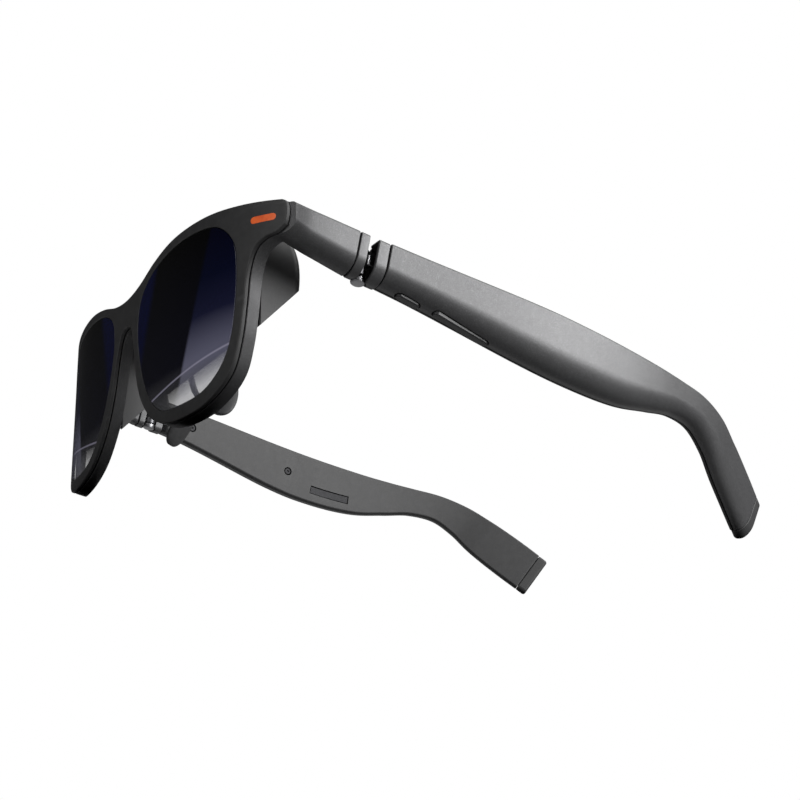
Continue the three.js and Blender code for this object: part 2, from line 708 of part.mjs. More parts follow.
// Insulating strip with a row of contacts standing out of it.
function makeContactStrip() {
  const strip = box(-0.8, 0.8, -0.9, -0.5, -3.6, 3.6);
  const contacts = [-2.6, -1.3, 0, 1.3, 2.6].map((z) => {
    return new THREE.CylinderGeometry(0.42, 0.42, 0.6, 10).translate(0, -0.4, z);
  });
  return onTipFace(join(strip, ...contacts));
}

// ---------------------------------------------------------------------------------------------
// Assembly

function frontHalf(side) {
  const half = new THREE.Group();
  half.scale.x = side === "left" ? 1 : -1;
  const slider = piece(`${side}_focus_slider`, makeFocusSlider(), BLACK, 0.6);
  slider.position.set(SLIDER.x, 0, OPTIC_TOP);
  const pad = piece(`${side}_nose_pad`, makeNosePad(), BLACK, 0.8);
  pad.position.set(PAD.x, PAD.y, PAD.z);
  pad.rotation.set(0, THREE.MathUtils.degToRad(-PAD.lean), THREE.MathUtils.degToRad(-PAD.turn), "ZYX");
  half.add(
    piece(`${side}_lens`, makeLens(), GLASS, 0.08),
    piece(`${side}_combiner`, makeCombiner(), GLASS, 0.05, 0.6),
    piece(`${side}_optics_housing`, makeHousing(), BLACK, 0.6),
    piece(`${side}_beam_splitter`, makeBeamSplitter(), STEEL, 0.05, 0.6),
    piece(`${side}_display`, makeDisplay(), GLASS, 0.2),
    piece(`${side}_display_lens`, makeDisplayLens(), "#c8ccd6", 0.05),
    slider,
    pad,
    piece(`${side}_arm_collar`, makeCollar(ARM_END + GAP, COLLAR_END, -10.4), GRAPHITE, 0.4, 0.3),
    piece(`${side}_hinge_bracket`, makeHingeBracket(), BLACK, 0.4, 0.8),
    piece(`${side}_hinge_pin`, makeHingePin(), STEEL, 0.3, 1),
  );
  return half;
}

function temple(side) {
  const half = new THREE.Group();
  half.scale.x = side === "left" ? 1 : -1;
  const isLeft = side === "left";
  half.add(
    piece(`${side}_hinge_leaf`, makeHingeLeaf(), STEEL, 0.3, 1),
    piece(`${side}_temple_collar`, makeCollar(TEMPLE_START, SHELL_START, -10.6), GRAPHITE, 0.4, 0.3),
    piece(`${side}_temple_shell`, makeTempleShell(isLeft), GRAPHITE, 0.55, 0.2),
    piece(`${side}_temple_cover`, makeInnerCover(), BLACK, 0.65),
    piece(`${side}_circuit_board`, makeBoard(), BOARD, 0.6),
    piece(`${side}_speaker`, makeSpeaker(), STEEL, 0.4, 0.6),
    piece(`${side}_speaker_grille`, makeGrille(), BLACK, 0.5, 0.6),
    piece(`${side}_tip`, isLeft ? makeTip(TIP_LENGTH) : makeConnectorTip(), BLACK, 0.55),
  );
  SCREWS.forEach((y, i) => half.add(piece(`${side}_screw_${i + 1}`, makeScrew(y), STEEL, 0.3, 1)));
  if (isLeft) {
    for (const [name, { y, length }] of Object.entries(BUTTONS)) {
      half.add(piece(name, underTemple(pill(length, BUTTON_WIDTH, -0.5, 1.8), y), BLACK, 0.5));
    }
  } else {
    half.add(piece("contact_strip", makeContactStrip(), STEEL, 0.35, 0.8));
  }
  return half;
}

function makeGlasses() {
  const worn = new THREE.Group();
  worn.add(
    piece("front_cover", makeFrontCover(), BLACK, 0.6),
    piece("main_frame", makeMainFrame(), GRAPHITE, 0.55, 0.2),
    piece("accent_inlay", makeAccent(), ACCENT, 0.5),
    piece("bridge_cover", makeBridgeCover(), BLACK, 0.6),
    piece("bridge_board", box(-7, 7, -3.6, -2.8, -9.4, -4), BOARD, 0.6),
    piece("nose_bracket", makeNoseBracket(), BLACK, 0.5),
    frontHalf("left"),
    frontHalf("right"),
    temple("left"),
    temple("right"),
  );
  return worn;
}

// Tip the worn glasses back, then stand them on z = 0 with the mid-depth over the origin.
const worn = makeGlasses();
worn.rotation.x = THREE.MathUtils.degToRad(-REST_TILT);
const glasses = new THREE.Group();
glasses.add(worn);
const extent = new THREE.Box3().setFromObject(glasses, true);
worn.position.set(0, -(extent.min.y + extent.max.y) / 2, -extent.min.z);

export default glasses;
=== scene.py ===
import json
from math import atan2, ceil, cos, pi, radians, sin, sqrt

import bmesh
import bpy
from mathutils import Matrix, Vector


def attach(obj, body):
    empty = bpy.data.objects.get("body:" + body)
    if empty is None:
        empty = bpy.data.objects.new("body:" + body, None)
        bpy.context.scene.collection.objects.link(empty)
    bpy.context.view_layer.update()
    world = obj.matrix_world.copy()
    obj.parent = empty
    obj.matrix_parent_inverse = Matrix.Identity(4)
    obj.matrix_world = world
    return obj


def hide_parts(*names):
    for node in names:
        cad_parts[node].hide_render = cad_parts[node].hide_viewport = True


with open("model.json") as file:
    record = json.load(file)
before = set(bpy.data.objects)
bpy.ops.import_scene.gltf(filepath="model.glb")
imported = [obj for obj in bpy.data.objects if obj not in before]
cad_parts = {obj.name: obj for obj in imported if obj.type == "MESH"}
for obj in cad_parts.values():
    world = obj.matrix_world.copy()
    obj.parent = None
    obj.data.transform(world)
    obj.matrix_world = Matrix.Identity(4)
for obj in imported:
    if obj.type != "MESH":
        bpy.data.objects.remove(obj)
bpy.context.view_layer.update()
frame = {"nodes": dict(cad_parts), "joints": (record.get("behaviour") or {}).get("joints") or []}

# Display glasses. Shapes are in millimetres as worn: x = 0 on the mid-plane and +X to the wearer's
# left, y = 0 at the front outer corner, z = 0 along the temples' straight top edge.
GAP = 0.3  # between neighbouring pieces
ARM_X = 72  # front corner, from the mid-plane
WRAP_2 = 0.00034  # face curvature, square term
WRAP_4 = 0.392e-6  # face curvature, fourth-power term
RAKE = 0.203  # the face leans back by this much for each mm down
COVER_DEPTH = 1  # front cover thickness
BAND_DEPTH = 4.2  # face to the back of the main frame
LENS_NEAR = 0.1  # face to the front of the lens
LENS_DEPTH = 0.8
LENS_CENTRE = (33.8, -20.5)
LENS_HALF = (25, 21)
ARM_OUT = 73.5  # outer face of the end arms
ARM_THICK = 6.6
ARM_END = 19.2  # where the end-arm collar begins
COLLAR_END = 21.9  # start of the hinge gap
TEMPLE_START = 24.4  # end of the hinge gap
SHELL_START = 27.4  # end of the temple collar
WALL = 1.2  # shell walls
HINGE = Vector((67.7, 23.2, -5.5))
HINGE_LEAN = radians(-2.5)
PIN_R = 0.9
KNUCKLE_R = 1.7
OPTIC_REAR = 12.6  # rearmost line of the optics housings
OPTIC_SLOPE = 1.58  # rise over run of their slanted underside
OPTIC_TOP = -2
STEM_R = 0.9  # stem of the focus sliders
SLIDER = {"x": 32, "travel": 6, "length": 8.4, "width": 3.2, "height": 1.3}
PAD_AT = (14, 16.4, -26)  # middle of the left nose pad
EDGE = 0.22  # rounding of the moulded edges
SIDES = {"left": 1, "right": -1}

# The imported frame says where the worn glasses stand: the display slides along their upright axis,
# and the hinge pin is a known point.
joints = {joint["name"]: joint for joint in frame["joints"]}
upright = -Vector(joints["left_display_shift"]["axis"])
tilt = Matrix.Rotation(atan2(-upright.y, upright.z), 3, "X")
shift = Vector(joints["left_temple_fold"]["pos_m"]) - tilt @ (HINGE * 0.001)
TO_ROW = Matrix.Translation(shift) @ tilt.to_4x4() @ Matrix.Scale(0.001, 4)
MIRROR = Matrix.Scale(-1, 4, (1, 0, 0))


# ------------------------------------------------------------------------------------------------
# Curves and sections

def hermite(a, b, c, d, w):
    """Catmull-Rom value between b and c."""
    slope0, slope1, rise = (c - a) / 2, (d - b) / 2, c - b
    return b + w * (slope0 + w * (3 * rise - 2 * slope0 - slope1 + w * (slope0 + slope1 - 2 * rise)))


def spline(points, steps, closed=False):
    """Points of the smooth curve through the given ones."""
    count = len(points)

    def at(i):
        return points[i % count] if closed else points[min(max(i, 0), count - 1)]

    line = []
    for i in range(count if closed else count - 1):
        near = [at(i + k) for k in (-1, 0, 1, 2)]
        for step in range(steps):
            line.append(tuple(hermite(*values, step / steps) for values in zip(*near)))
    return line if closed else line + [tuple(points[-1])]


def arc(centre, radii, start, sweep, steps):
    """Points of an elliptical arc, angles in degrees."""
    angles = [radians(start + sweep * i / steps) for i in range(steps + 1)]
    return [(centre[0] + radii[0] * cos(a), centre[1] + radii[1] * sin(a)) for a in angles]


def face_y(x, z):
    u, e = x * x, ARM_X * ARM_X
    return WRAP_2 * (u - e) + WRAP_4 * (u * u - e * e) - RAKE * z + 0.2


def mirrored(points):
    return [(-x, z) for x, z in reversed(points)]


# Lower edge of the face from the bridge round the left rim, its upper edge, and the lens opening
RIM_EDGE = [
    (3.6, -12.6), (6.2, -18), (9.4, -28), (14, -35.6), (22, -42.2), (32.7, -45.3), (44.5, -45.2),
    (52, -42.6), (57.2, -38), (59.6, -31), (60.8, -23), (61.6, -15.5), (63.4, -10.2), (66.2, -7.9),
    (69.2, -7), (71.3, -5.4),
]
BROW_EDGE = [(70.6, 0.8), (59.3, 1.7), (45.7, 2.5), (30.4, 2.2), (19.2, 0.3), (9, -2.6), (0, -3.6)]
LENS_EDGE = [
    (50.6, -1.4), (56.8, -6.3), (58.4, -12.5), (58.2, -22.2), (56.5, -31.7), (52.2, -38.1),
    (44.3, -41.8), (30.3, -42), (21.5, -38.2), (14.6, -30.4), (10.3, -21), (8.9, -13.5),
    (10.6, -7), (16.7, -2.8), (26.4, -0.6), (38.6, 0),
]


def bezier(a, b, c, steps):
    """Inner points of a quadratic curve."""
    line = []
    for t in [i / steps for i in range(1, steps)]:
        line.append(tuple((1 - t) ** 2 * p + 2 * t * (1 - t) * q + t * t * r for p, q, r in zip(a, b, c)))
    return line


def face_outline(steps=10):
    low = spline(mirrored(RIM_EDGE) + [(0, -11.4)] + RIM_EDGE, steps)
    high = spline(BROW_EDGE + mirrored(BROW_EDGE[:-1]), steps)
    left = bezier(low[-1], (72.6, 0.4), high[0], 8)
    right = bezier(high[-1], (-72.6, 0.4), low[0], 8)
    return low + left + high + right


def lens_loop(margin, side=1, steps=10):
    """The lens opening, drawn in by a margin, running clockwise."""
    (cx, cz), (hx, hz) = LENS_CENTRE, LENS_HALF
    scaled = [(cx + (x - cx) * (1 - margin / hx), cz + (z - cz) * (1 - margin / hz)) for x, z in LENS_EDGE]
    loop = spline(scaled, steps, closed=True)
    return loop if side == 1 else mirrored(loop)


def outer_sweep(h, t, inset=0.0, steps=26):
    """Outer side of an arm or temple section, from its top edge down to its bottom edge."""
    low_u, low_v = 0.62 * t, 0.42 * h
    upper = max(0.8 - inset, 0.1)
    top = arc((-0.8, h / 2 - 0.8), (upper, upper), 90, -90, 5)
    return top + arc((-low_u, low_v - h / 2), (low_u - inset, low_v - inset), 0, -90, steps)


def arm_section(h, t, inset=0.0):
    upper = max(0.8 - inset, 0.1)
    low = arc((1.4 - t, 1.4 - h / 2), (1.4 - inset, 1.4 - inset), -90, -90, 6)
    high = arc((0.8 - t, h / 2 - 0.8), (upper, upper), -180, -90, 5)
    return outer_sweep(h, t, inset) + low + high


# ------------------------------------------------------------------------------------------------
# Meshes

def skin(rings, caps=True, loop=False):
    """A closed skin over rings that have equal counts of points."""
    bm = bmesh.new()
    rows = [[bm.verts.new(p) for p in ring] for ring in rings]
    count = len(rows[0])
    pairs = list(zip(rows, rows[1:] + rows[:1])) if loop else list(zip(rows, rows[1:]))
    for a, b in pairs:
        for i in range(count):
            bm.faces.new((a[i], a[(i + 1) % count], b[(i + 1) % count], b[i]))
    if caps and not loop:
        bm.faces.new(rows[0])
        bm.faces.new(rows[-1])
    bmesh.ops.recalc_face_normals(bm, faces=bm.faces)
    return bm


def block(x0, x1, y0, y1, z0, z1, rounding=0.0, segments=3):
    bm = bmesh.new()
    size = Matrix.Diagonal((x1 - x0, y1 - y0, z1 - z0, 1))
    middle = Matrix.Translation(((x0 + x1) / 2, (y0 + y1) / 2, (z0 + z1) / 2))
    bmesh.ops.create_cube(bm, size=1, matrix=middle @ size)
    if rounding:
        bmesh.ops.bevel(bm, geom=bm.edges, offset=rounding, segments=segments, profile=0.5, affect="EDGES")
    return bm


def turned(profile, sides=48):
    """A solid of revolution about Z from (radius, height) points that start and end on the axis."""
    bm = bmesh.new()
    ends = [bm.verts.new((0, 0, profile[0][1])), bm.verts.new((0, 0, profile[-1][1]))]
    angles = [2 * pi * i / sides for i in range(sides)]
    rows = [[bm.verts.new((r * cos(a), r * sin(a), z)) for a in angles] for r, z in profile[1:-1]]
    for a, b in zip(rows, rows[1:]):
        for i in range(sides):
            bm.faces.new((a[i], a[(i + 1) % sides], b[(i + 1) % sides], b[i]))
    for end, row in zip(ends, (rows[0], rows[-1])):
        for i in range(sides):
            bm.faces.new((end, row[i], row[(i + 1) % sides]))
    bmesh.ops.recalc_face_normals(bm, faces=bm.faces)
    return bm


def rod(x, y, z0, z1, radius, chamfer=0.0, sides=48):
    profile = [(0, z0), (radius - chamfer, z0), (radius, z0 + chamfer), (radius, z1 - chamfer)]
    profile += [(radius - chamfer, z1), (0, z1)]
    if not chamfer:
        profile = [(0, z0), (radius, z0), (radius, z1), (0, z1)]
    return moved(turned(profile, sides), Matrix.Translation((x, y, 0)))


def moved(bm, matrix):
    bmesh.ops.transform(bm, matrix=matrix, verts=bm.verts)
    if matrix.determinant() < 0:
        bmesh.ops.reverse_faces(bm, faces=bm.faces)
    return bm


def combined(base, tools, operation):
    """Exact boolean of closed meshes."""
    holder = bpy.data.objects.new("work", to_mesh(base))
    bpy.context.scene.collection.objects.link(holder)
    parts = []
    for tool in tools:
        part = bpy.data.objects.new("tool", to_mesh(tool))
        bpy.context.scene.collection.objects.link(part)
        modifier = holder.modifiers.new("cut", "BOOLEAN")
        modifier.operation = operation
        modifier.solver = "EXACT"
        modifier.object = part
        parts.append(part)
    depsgraph = bpy.context.evaluated_depsgraph_get()
    result = bmesh.new()
    result.from_mesh(holder.evaluated_get(depsgraph).to_mesh())
    for item in [holder, *parts]:
        bpy.data.objects.remove(item)
    if not result.faces:
        raise ValueError("a boolean left nothing")
    return result


def cut(base, *tools):
    return combined(base, tools, "DIFFERENCE")


def join(base, *others):
    return combined(base, others, "UNION")


def to_mesh(bm):
    mesh = bpy.data.meshes.new("shape")
    bm.to_mesh(mesh)
    bm.free()
    return mesh


def plate(loops, near, far, rounding, strip=1.5, dish=None):
    """A sheet with rounded rims that follows the face between two depths behind it."""
    curve = bpy.data.curves.new("outline", "CURVE")
    curve.dimensions = "2D"
    curve.fill_mode = "BOTH"
    curve.extrude = (far - near) / 2 - rounding
    curve.bevel_depth = rounding
    curve.bevel_resolution = 2
    curve.offset = -rounding
    for loop in loops:
        line = curve.splines.new("POLY")
        line.points.add(len(loop) - 1)
        for point, (x, z) in zip(line.points, loop):
            point.co = (x, z, 0, 1)
        line.use_cyclic_u = True
    holder = bpy.data.objects.new("outline", curve)
    bpy.context.scene.collection.objects.link(holder)
    depsgraph = bpy.context.evaluated_depsgraph_get()
    bm = bmesh.new()
    bm.from_mesh(holder.evaluated_get(depsgraph).to_mesh())
    bpy.data.objects.remove(holder)
    bmesh.ops.remove_doubles(bm, verts=bm.verts, dist=0.004)
    reach = ceil(ARM_OUT / strip)
    for i in range(-reach, reach):
        geometry = [*bm.verts, *bm.edges, *bm.faces]
        place = ((i + 0.5) * strip, 0, 0)
        bmesh.ops.bisect_plane(bm, geom=geometry, dist=1e-4, plane_co=place, plane_no=(1, 0, 0))
    for vert in bm.verts:
        x, z, t = vert.co
        lift = dish(x, z) if dish else 0
        vert.co = (x, face_y(x, z) + (near + far) / 2 + t + lift, z)
    bmesh.ops.recalc_face_normals(bm, faces=bm.faces)
    return bm


def finish(name, bm, material, body, replaces=(), side="left", crease=40):
    """Puts a worn-frame shape into the row frame as a named piece."""
    moved(bm, TO_ROW if side == "left" else TO_ROW @ MIRROR)
    for edge in bm.edges:
        edge.smooth = len(edge.link_faces) == 2 and edge.calc_face_angle(0) < radians(crease)
    for face in bm.faces:
        face.smooth = True
    mesh = to_mesh(bm)
    mesh.name = name
    mesh.materials.append(material)
    piece = bpy.data.objects.new(name, mesh)
    bpy.context.scene.collection.objects.link(piece)
    weighted = piece.modifiers.new("normals", "WEIGHTED_NORMAL")
    weighted.keep_sharp = True
    weighted.weight = 60
    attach(piece, body)
    if replaces:
        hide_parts(*replaces)
    return piece


# ------------------------------------------------------------------------------------------------
# Materials

class Shader:
    """A small helper round one material's node tree."""

    def __init__(self, name):
        self.material = bpy.data.materials.new(name)
        self.material.use_nodes = True
        self.nodes = self.material.node_tree.nodes
        self.links = self.material.node_tree.links
        self.bsdf = self.nodes["Principled BSDF"]
        self.place = self.add("ShaderNodeTexCoord").outputs["Object"]

    def add(self, kind, **values):
        node = self.nodes.new(kind)
        for key, value in values.items():
            setattr(node, key, value)
        return node

    def link(self, output, target):
        self.links.new(output, target)

    def set(self, **values):
        for key, value in values.items():
            self.bsdf.inputs[key.replace("_", " ")].default_value = value

    def paint(self, output):
        self.link(output, self.bsdf.inputs["Base Color"])

    def roughen(self, output):
        self.link(output, self.bsdf.inputs["Roughness"])

    def noise(self, scale, detail=3.0, roughness=0.6, stretch=None):
        node = self.add("ShaderNodeTexNoise")
        node.inputs["Scale"].default_value = scale
        node.inputs["Detail"].default_value = detail
        node.inputs["Roughness"].default_value = roughness
        source = self.place
        if stretch:
            mapping = self.add("ShaderNodeMapping")
            mapping.inputs["Scale"].default_value = stretch
            self.link(source, mapping.inputs["Vector"])
            source = mapping.outputs["Vector"]
        self.link(source, node.inputs["Vector"])
        return node.outputs["Fac"]

    def ramp(self, source, stops):
        node = self.add("ShaderNodeValToRGB")
        ramp = node.color_ramp
        while len(ramp.elements) < len(stops):
            ramp.elements.new(0.5)
        for element, (place, color) in zip(ramp.elements, stops):
            element.position = place
            element.color = (*color, 1) if len(color) == 3 else color
        self.link(source, node.inputs["Fac"])
        return node.outputs["Color"]

    def range(self, source, low, high, to_low, to_high):
        node = self.add("ShaderNodeMapRange")
        for key, value in zip(("From Min", "From Max", "To Min", "To Max"), (low, high, to_low, to_high)):
            node.inputs[key].default_value = value
        self.link(source, node.inputs["Value"])
        return node.outputs["Result"]

    def blend_color(self, factor, a, b):
        node = self.add("ShaderNodeMix", data_type="RGBA")
        targets = [s for s in node.inputs if s.type == "RGBA"]
        self.link(factor, node.inputs[0])
        for value, target in zip((a, b), targets):
            if isinstance(value, bpy.types.NodeSocket):
                self.link(value, target)
            else:
                target.default_value = (*value, 1)
        return [s for s in node.outputs if s.type == "RGBA"][0]

    def math(self, operation, *values):
        """One arithmetic node over outputs and constants."""
        node = self.add("ShaderNodeMath", operation=operation)
        for value, target in zip(values, node.inputs):
            if isinstance(value, float):
                target.default_value = value
            else:
                self.link(value, target)
        return node.outputs["Value"]

    def bump(self, height, strength, distance):
        node = self.add("ShaderNodeBump")
        node.inputs["Strength"].default_value = strength
        node.inputs["Distance"].default_value = distance
        self.link(height, node.inputs["Height"])
        self.link(node.outputs["Normal"], self.bsdf.inputs["Normal"])

    def worn_edges(self, low=0.52, high=0.62):
        """Rises where the surface is a convex edge."""
        geometry = self.add("ShaderNodeNewGeometry")
        return self.range(geometry.outputs["Pointiness"], low, high, 0, 1)


def plastic(name, dark, light, rough, grain=7000.0, bump=0.25, flakes=0.0, metallic=0.0, wear=0.35):
    """Moulded or painted plastic: fine grain, faint mottling, optional bright flakes, rubbed edges."""
    s = Shader(name)
    s.set(Metallic=metallic, Specular_IOR_Level=0.3)
    mottle = s.noise(420, 4)
    color = s.blend_color(s.range(mottle, 0.35, 0.65, 0, 1), dark, light)
    fine = s.noise(grain, 2)
    if flakes:
        speck = s.range(s.noise(grain * 1.6, 1, 0.5), 0.56, 0.74, 0, flakes)
        color = s.blend_color(speck, color, tuple(min(1, 4.2 * c + 0.05) for c in light))
    rubbed = tuple(min(1, 1.7 * c + 0.012) for c in light)
    edge = s.range(s.worn_edges(), 0, 1, 0, wear)
    color = s.blend_color(edge, color, rubbed)
    s.paint(color)
    s.roughen(s.range(fine, 0.3, 0.7, rough - 0.06, rough + 0.08))
    s.bump(fine, bump, 0.00003)
    return s.material


def brushed(name, color, rough=0.28, stretch=(1, 1, 14), grain=2600.0):
    s = Shader(name)
    s.set(Metallic=1.0)
    lines = s.noise(grain, 3, 0.7, stretch)
    darker = tuple(c * 0.72 for c in color)
    s.paint(s.blend_color(s.range(lines, 0.3, 0.7, 0, 1), darker, color))
    s.roughen(s.range(lines, 0.3, 0.7, rough - 0.08, rough + 0.12))
    s.bump(lines, 0.2, 0.00001)
    return s.material


def silicone():
    s = Shader("nose_silicone")
    s.set(Specular_IOR_Level=0.35)
    haze = s.noise(900, 4)
    s.paint(s.ramp(haze, [(0.3, (0.016, 0.016, 0.0165)), (0.75, (0.024, 0.024, 0.025))]))
    s.roughen(s.range(haze, 0.3, 0.7, 0.5, 0.68))
    s.bump(s.noise(5200, 2), 0.2, 0.00002)
    return s.material


def lens_with_painted_reflections():
    """Near-black tint, paler grey towards the bottom, with painted reflections: navy margins fading to grey
    below, and a bright line below which the lens turns partly clear.

    Its zones are laid out in metres across and up the row frame, alike on both lenses.
    """
    bottom, top = 0.004, 0.046
    zone_lean = 0.35
    highlight_rise, highlight_height = 0.1434, 0.0061
    s = Shader("dark_lens_painted_reflections")
    split = s.add("ShaderNodeSeparateXYZ")
    s.link(s.place, split.inputs["Vector"])
    across = s.math("ABSOLUTE", split.outputs["X"])
    up = split.outputs["Z"]
    slanted = s.math("MULTIPLY_ADD", up, -zone_lean, across)
    # Painted reflection: the outer zone is navy fading to pale grey towards the bottom, and the inner zone by
    # the bridge is navy
    outer = s.range(slanted, 0.0325, 0.0338, 0, 1)
    inner = s.range(slanted, 0.0065, 0.0035, 0, 1)
    height = s.range(up, bottom, top, 0, 1)
    core = s.ramp(height, [
        (0.0, (0.1, 0.1, 0.105)), (0.12, (0.035, 0.035, 0.04)), (0.24, (0.004, 0.004, 0.008)),
        (1.0, (0.0008,) * 3),
    ])
    # Painted reflection colour of the outer zone, navy above and pale grey towards the bottom
    margin = s.ramp(height, [
        (0.0, (0.2, 0.2, 0.23)), (0.22, (0.13, 0.13, 0.19)), (0.48, (0.009, 0.01, 0.03)),
        (0.7, (0.002, 0.003, 0.014)), (1.0, (0.001, 0.001, 0.006)),
    ])
    # Painted reflection colour of the inner zone by the bridge
    painted_navy_reflection = s.ramp(height, [(0.0, (0.02, 0.02, 0.04)), (0.5, (0.002, 0.003, 0.022))])
    lens_colour_with_reflections = s.blend_color(outer, s.blend_color(inner, core, painted_navy_reflection), margin)
    # Painted reflection: a bright slanted line low across the lens; below it the lens turns partly clear
    line = s.math("MULTIPLY_ADD", across, -highlight_rise, up)
    near = s.math("ABSOLUTE", s.math("ADD", line, -highlight_height))
    # Paints the bright reflection line into the colour
    lens_colour_with_reflections = s.blend_color(s.range(near, 0.0001, 0.0004, 0.6, 0), lens_colour_with_reflections, (0.42, 0.4, 0.52))
    s.paint(lens_colour_with_reflections)
    s.roughen(s.range(s.noise(60, 3), 0.35, 0.65, 0.03, 0.05))
    s.link(s.range(line, 0.0, 0.0075, 0.42, 1), s.bsdf.inputs["Alpha"])
    s.set(IOR=1.3)
    return s.material


def mirror_film(name, color, alpha):
    s = Shader(name)
    streak = s.noise(180, 3)
    s.set(Metallic=0.7, Alpha=alpha)
    s.paint(s.ramp(streak, [(0.3, color), (0.7, tuple(0.86 * c for c in color))]))
    s.roughen(s.range(streak, 0.3, 0.7, 0.06, 0.14))
    return s.material


def clear_glass(name, color, rough=0.03):
    s = Shader(name)
    s.set(Transmission_Weight=0.85, IOR=1.5)
    dust = s.noise(700, 3)
    s.paint(s.ramp(dust, [(0.3, color), (0.7, tuple(0.94 * c for c in color))]))
    s.roughen(s.range(dust, 0.3, 0.7, rough, rough + 0.05))
    return s.material


def display_panel():
    s = Shader("display_panel")
    s.set(Coat_Weight=0.8, Coat_Roughness=0.05)
    rows = s.noise(9000, 1, 0.5, (1, 6, 1))
    s.paint(s.ramp(rows, [(0.4, (0.006, 0.006, 0.012)), (0.6, (0.016, 0.018, 0.035))]))
    s.roughen(s.range(rows, 0.3, 0.7, 0.12, 0.2))
    return s.material


def solder_mask():
    """Green board with lighter copper tracks under the mask."""
    s = Shader("board_mask")
    tracks = s.add("ShaderNodeTexBrick")
    tracks.inputs["Scale"].default_value = 260
    tracks.inputs["Color1"].default_value = (0.006, 0.045, 0.022, 1)
    tracks.inputs["Color2"].default_value = (0.008, 0.06, 0.03, 1)
    tracks.inputs["Mortar"].default_value = (0.03, 0.16, 0.07, 1)
    tracks.inputs["Mortar Size"].default_value = 0.03
    s.link(s.place, tracks.inputs["Vector"])
    s.paint(tracks.outputs["Color"])
    s.roughen(s.range(s.noise(1500, 2), 0.3, 0.7, 0.3, 0.45))
    s.bump(tracks.outputs["Fac"], 0.3, 0.00003)
    return s.material


FACE = plastic("face_matte", (0.017, 0.017, 0.0175), (0.023, 0.023, 0.0235), 0.56, grain=6500, bump=0.16)
GRAPHITE = plastic("graphite_satin", (0.036, 0.036, 0.037), (0.040, 0.040, 0.0412), 0.42, grain=6500,
                   bump=0.2, flakes=0.5, metallic=0.35)
INNER = plastic("inner_matte", (0.013, 0.013, 0.0135), (0.017, 0.017, 0.0175), 0.55, grain=6000, bump=0.2)
TRIM = plastic("button_satin", (0.011, 0.011, 0.012), (0.016, 0.016, 0.017), 0.42, grain=8000, bump=0.15)
ORANGE = plastic("accent_satin", (0.62, 0.085, 0.012), (0.78, 0.125, 0.02), 0.42, grain=6000, bump=0.12,
                 wear=0.1)
SILICONE = silicone()
# Lens tint with painted reflections: navy margins and a bright line are painted into its colour
DARK_LENS_PAINTED_REFLECTIONS = lens_with_painted_reflections()
HALF_MIRROR = mirror_film("half_mirror", (0.62, 0.63, 0.74), 0.5)
SPLITTER = mirror_film("splitter_film", (0.7, 0.7, 0.84), 0.75)
OPTIC = clear_glass("display_optic", (0.86, 0.88, 0.93))
PANEL = display_panel()
BOARD = solder_mask()
STEEL = brushed("hinge_steel_brushed", (0.3, 0.3, 0.31), rough=0.34)
DARK_STEEL = brushed("bracket_steel_dark", (0.09, 0.09, 0.095), rough=0.38)
BLACKENED = brushed("blackened_steel", (0.02, 0.02, 0.021), rough=0.5, stretch=(1, 1, 1))
CAN = brushed("speaker_can_pressed", (0.055, 0.055, 0.058), rough=0.42, stretch=(1, 1, 1))
GOLD = brushed("contact_gold", (0.78, 0.58, 0.26), rough=0.2, stretch=(1, 1, 1))


# ------------------------------------------------------------------------------------------------
# Front

def accent_loop(margin):
    x0, x1, z, r = 63.4, 68.4, -3.2, 0.9 + margin
    return arc((x1, z), (r, r), -90, 180, 16) + arc((x0, z), (r, r), 90, 180, 16)


def make_front_cover():
    loops = [face_outline(), lens_loop(0), lens_loop(0, -1)]
    pocket = plate([accent_loop(0.16)], -0.8, 0.6, 0.02, strip=4)
    shape = cut(plate(loops, 0, COVER_DEPTH, EDGE), pocket)
    finish("face_cover", shape, FACE, "front", ["front_cover"], crease=50)
    accent = plate([accent_loop(0)], -0.02, 0.36, 0.12, strip=2)
    finish("accent_bar", accent, ORANGE, "front", ["accent_inlay"])


ARM_ROOT = 3  # usual depth of the arm's front edge
ARM_LOW = -10.3
ARM_STEPS = 10


def end_arm_rings():
    """Sections from behind the front cover to the arm's end, dropping to full height on the way."""
    # Depth, top, bottom and outer face against ARM_OUT
    places = [
        (ARM_ROOT, 0.5, -7, -0.7), (6.4, 0.1, -8.5, -0.2), (12, 0, -9.4, 0), (ARM_END - EDGE, 0, ARM_LOW, 0),
    ]
    rings = []
    for i, (y, top, low, out) in enumerate(spline(places, ARM_STEPS)):
        section = [(ARM_OUT + out + u, (top + low) / 2 + v) for u, v in arm_section(top - low, ARM_THICK)]
        w = min(i / ARM_STEPS, 1)
        front = [face_y(x, z) + COVER_DEPTH + GAP for x, z in section]
        rings.append([(x, y + (1 - w) * (f - ARM_ROOT), z) for (x, z), f in zip(section, front)])
    end = [(ARM_OUT + u, v + ARM_LOW / 2) for u, v in arm_section(-ARM_LOW, ARM_THICK, EDGE)]
    return rings + [[(x, ARM_END, z) for x, z in end]]


def make_main_frame():
    loops = [face_outline(), lens_loop(WALL), lens_loop(WALL, -1)]
    band = plate(loops, COVER_DEPTH + GAP, BAND_DEPTH, 0.12)
    pocket = (HINGE.x + 0.1, ARM_OUT - 2, 14, ARM_END + 1, -8.7, -1.6)
    left = cut(skin(end_arm_rings()), block(*pocket))
    right = moved(cut(skin(end_arm_rings()), block(*pocket)), MIRROR)
    shape = join(band, left, right)
    finish("side_frame", shape, GRAPHITE, "front", ["main_frame"], crease=35)


def make_lens(side):
    shape = plate([lens_loop(GAP * 0.5)], LENS_NEAR, LENS_NEAR + LENS_DEPTH, 0.15)
    finish(f"{side}_tinted_lens", shape, DARK_LENS_PAINTED_REFLECTIONS, "front", [f"{side}_lens"], side)


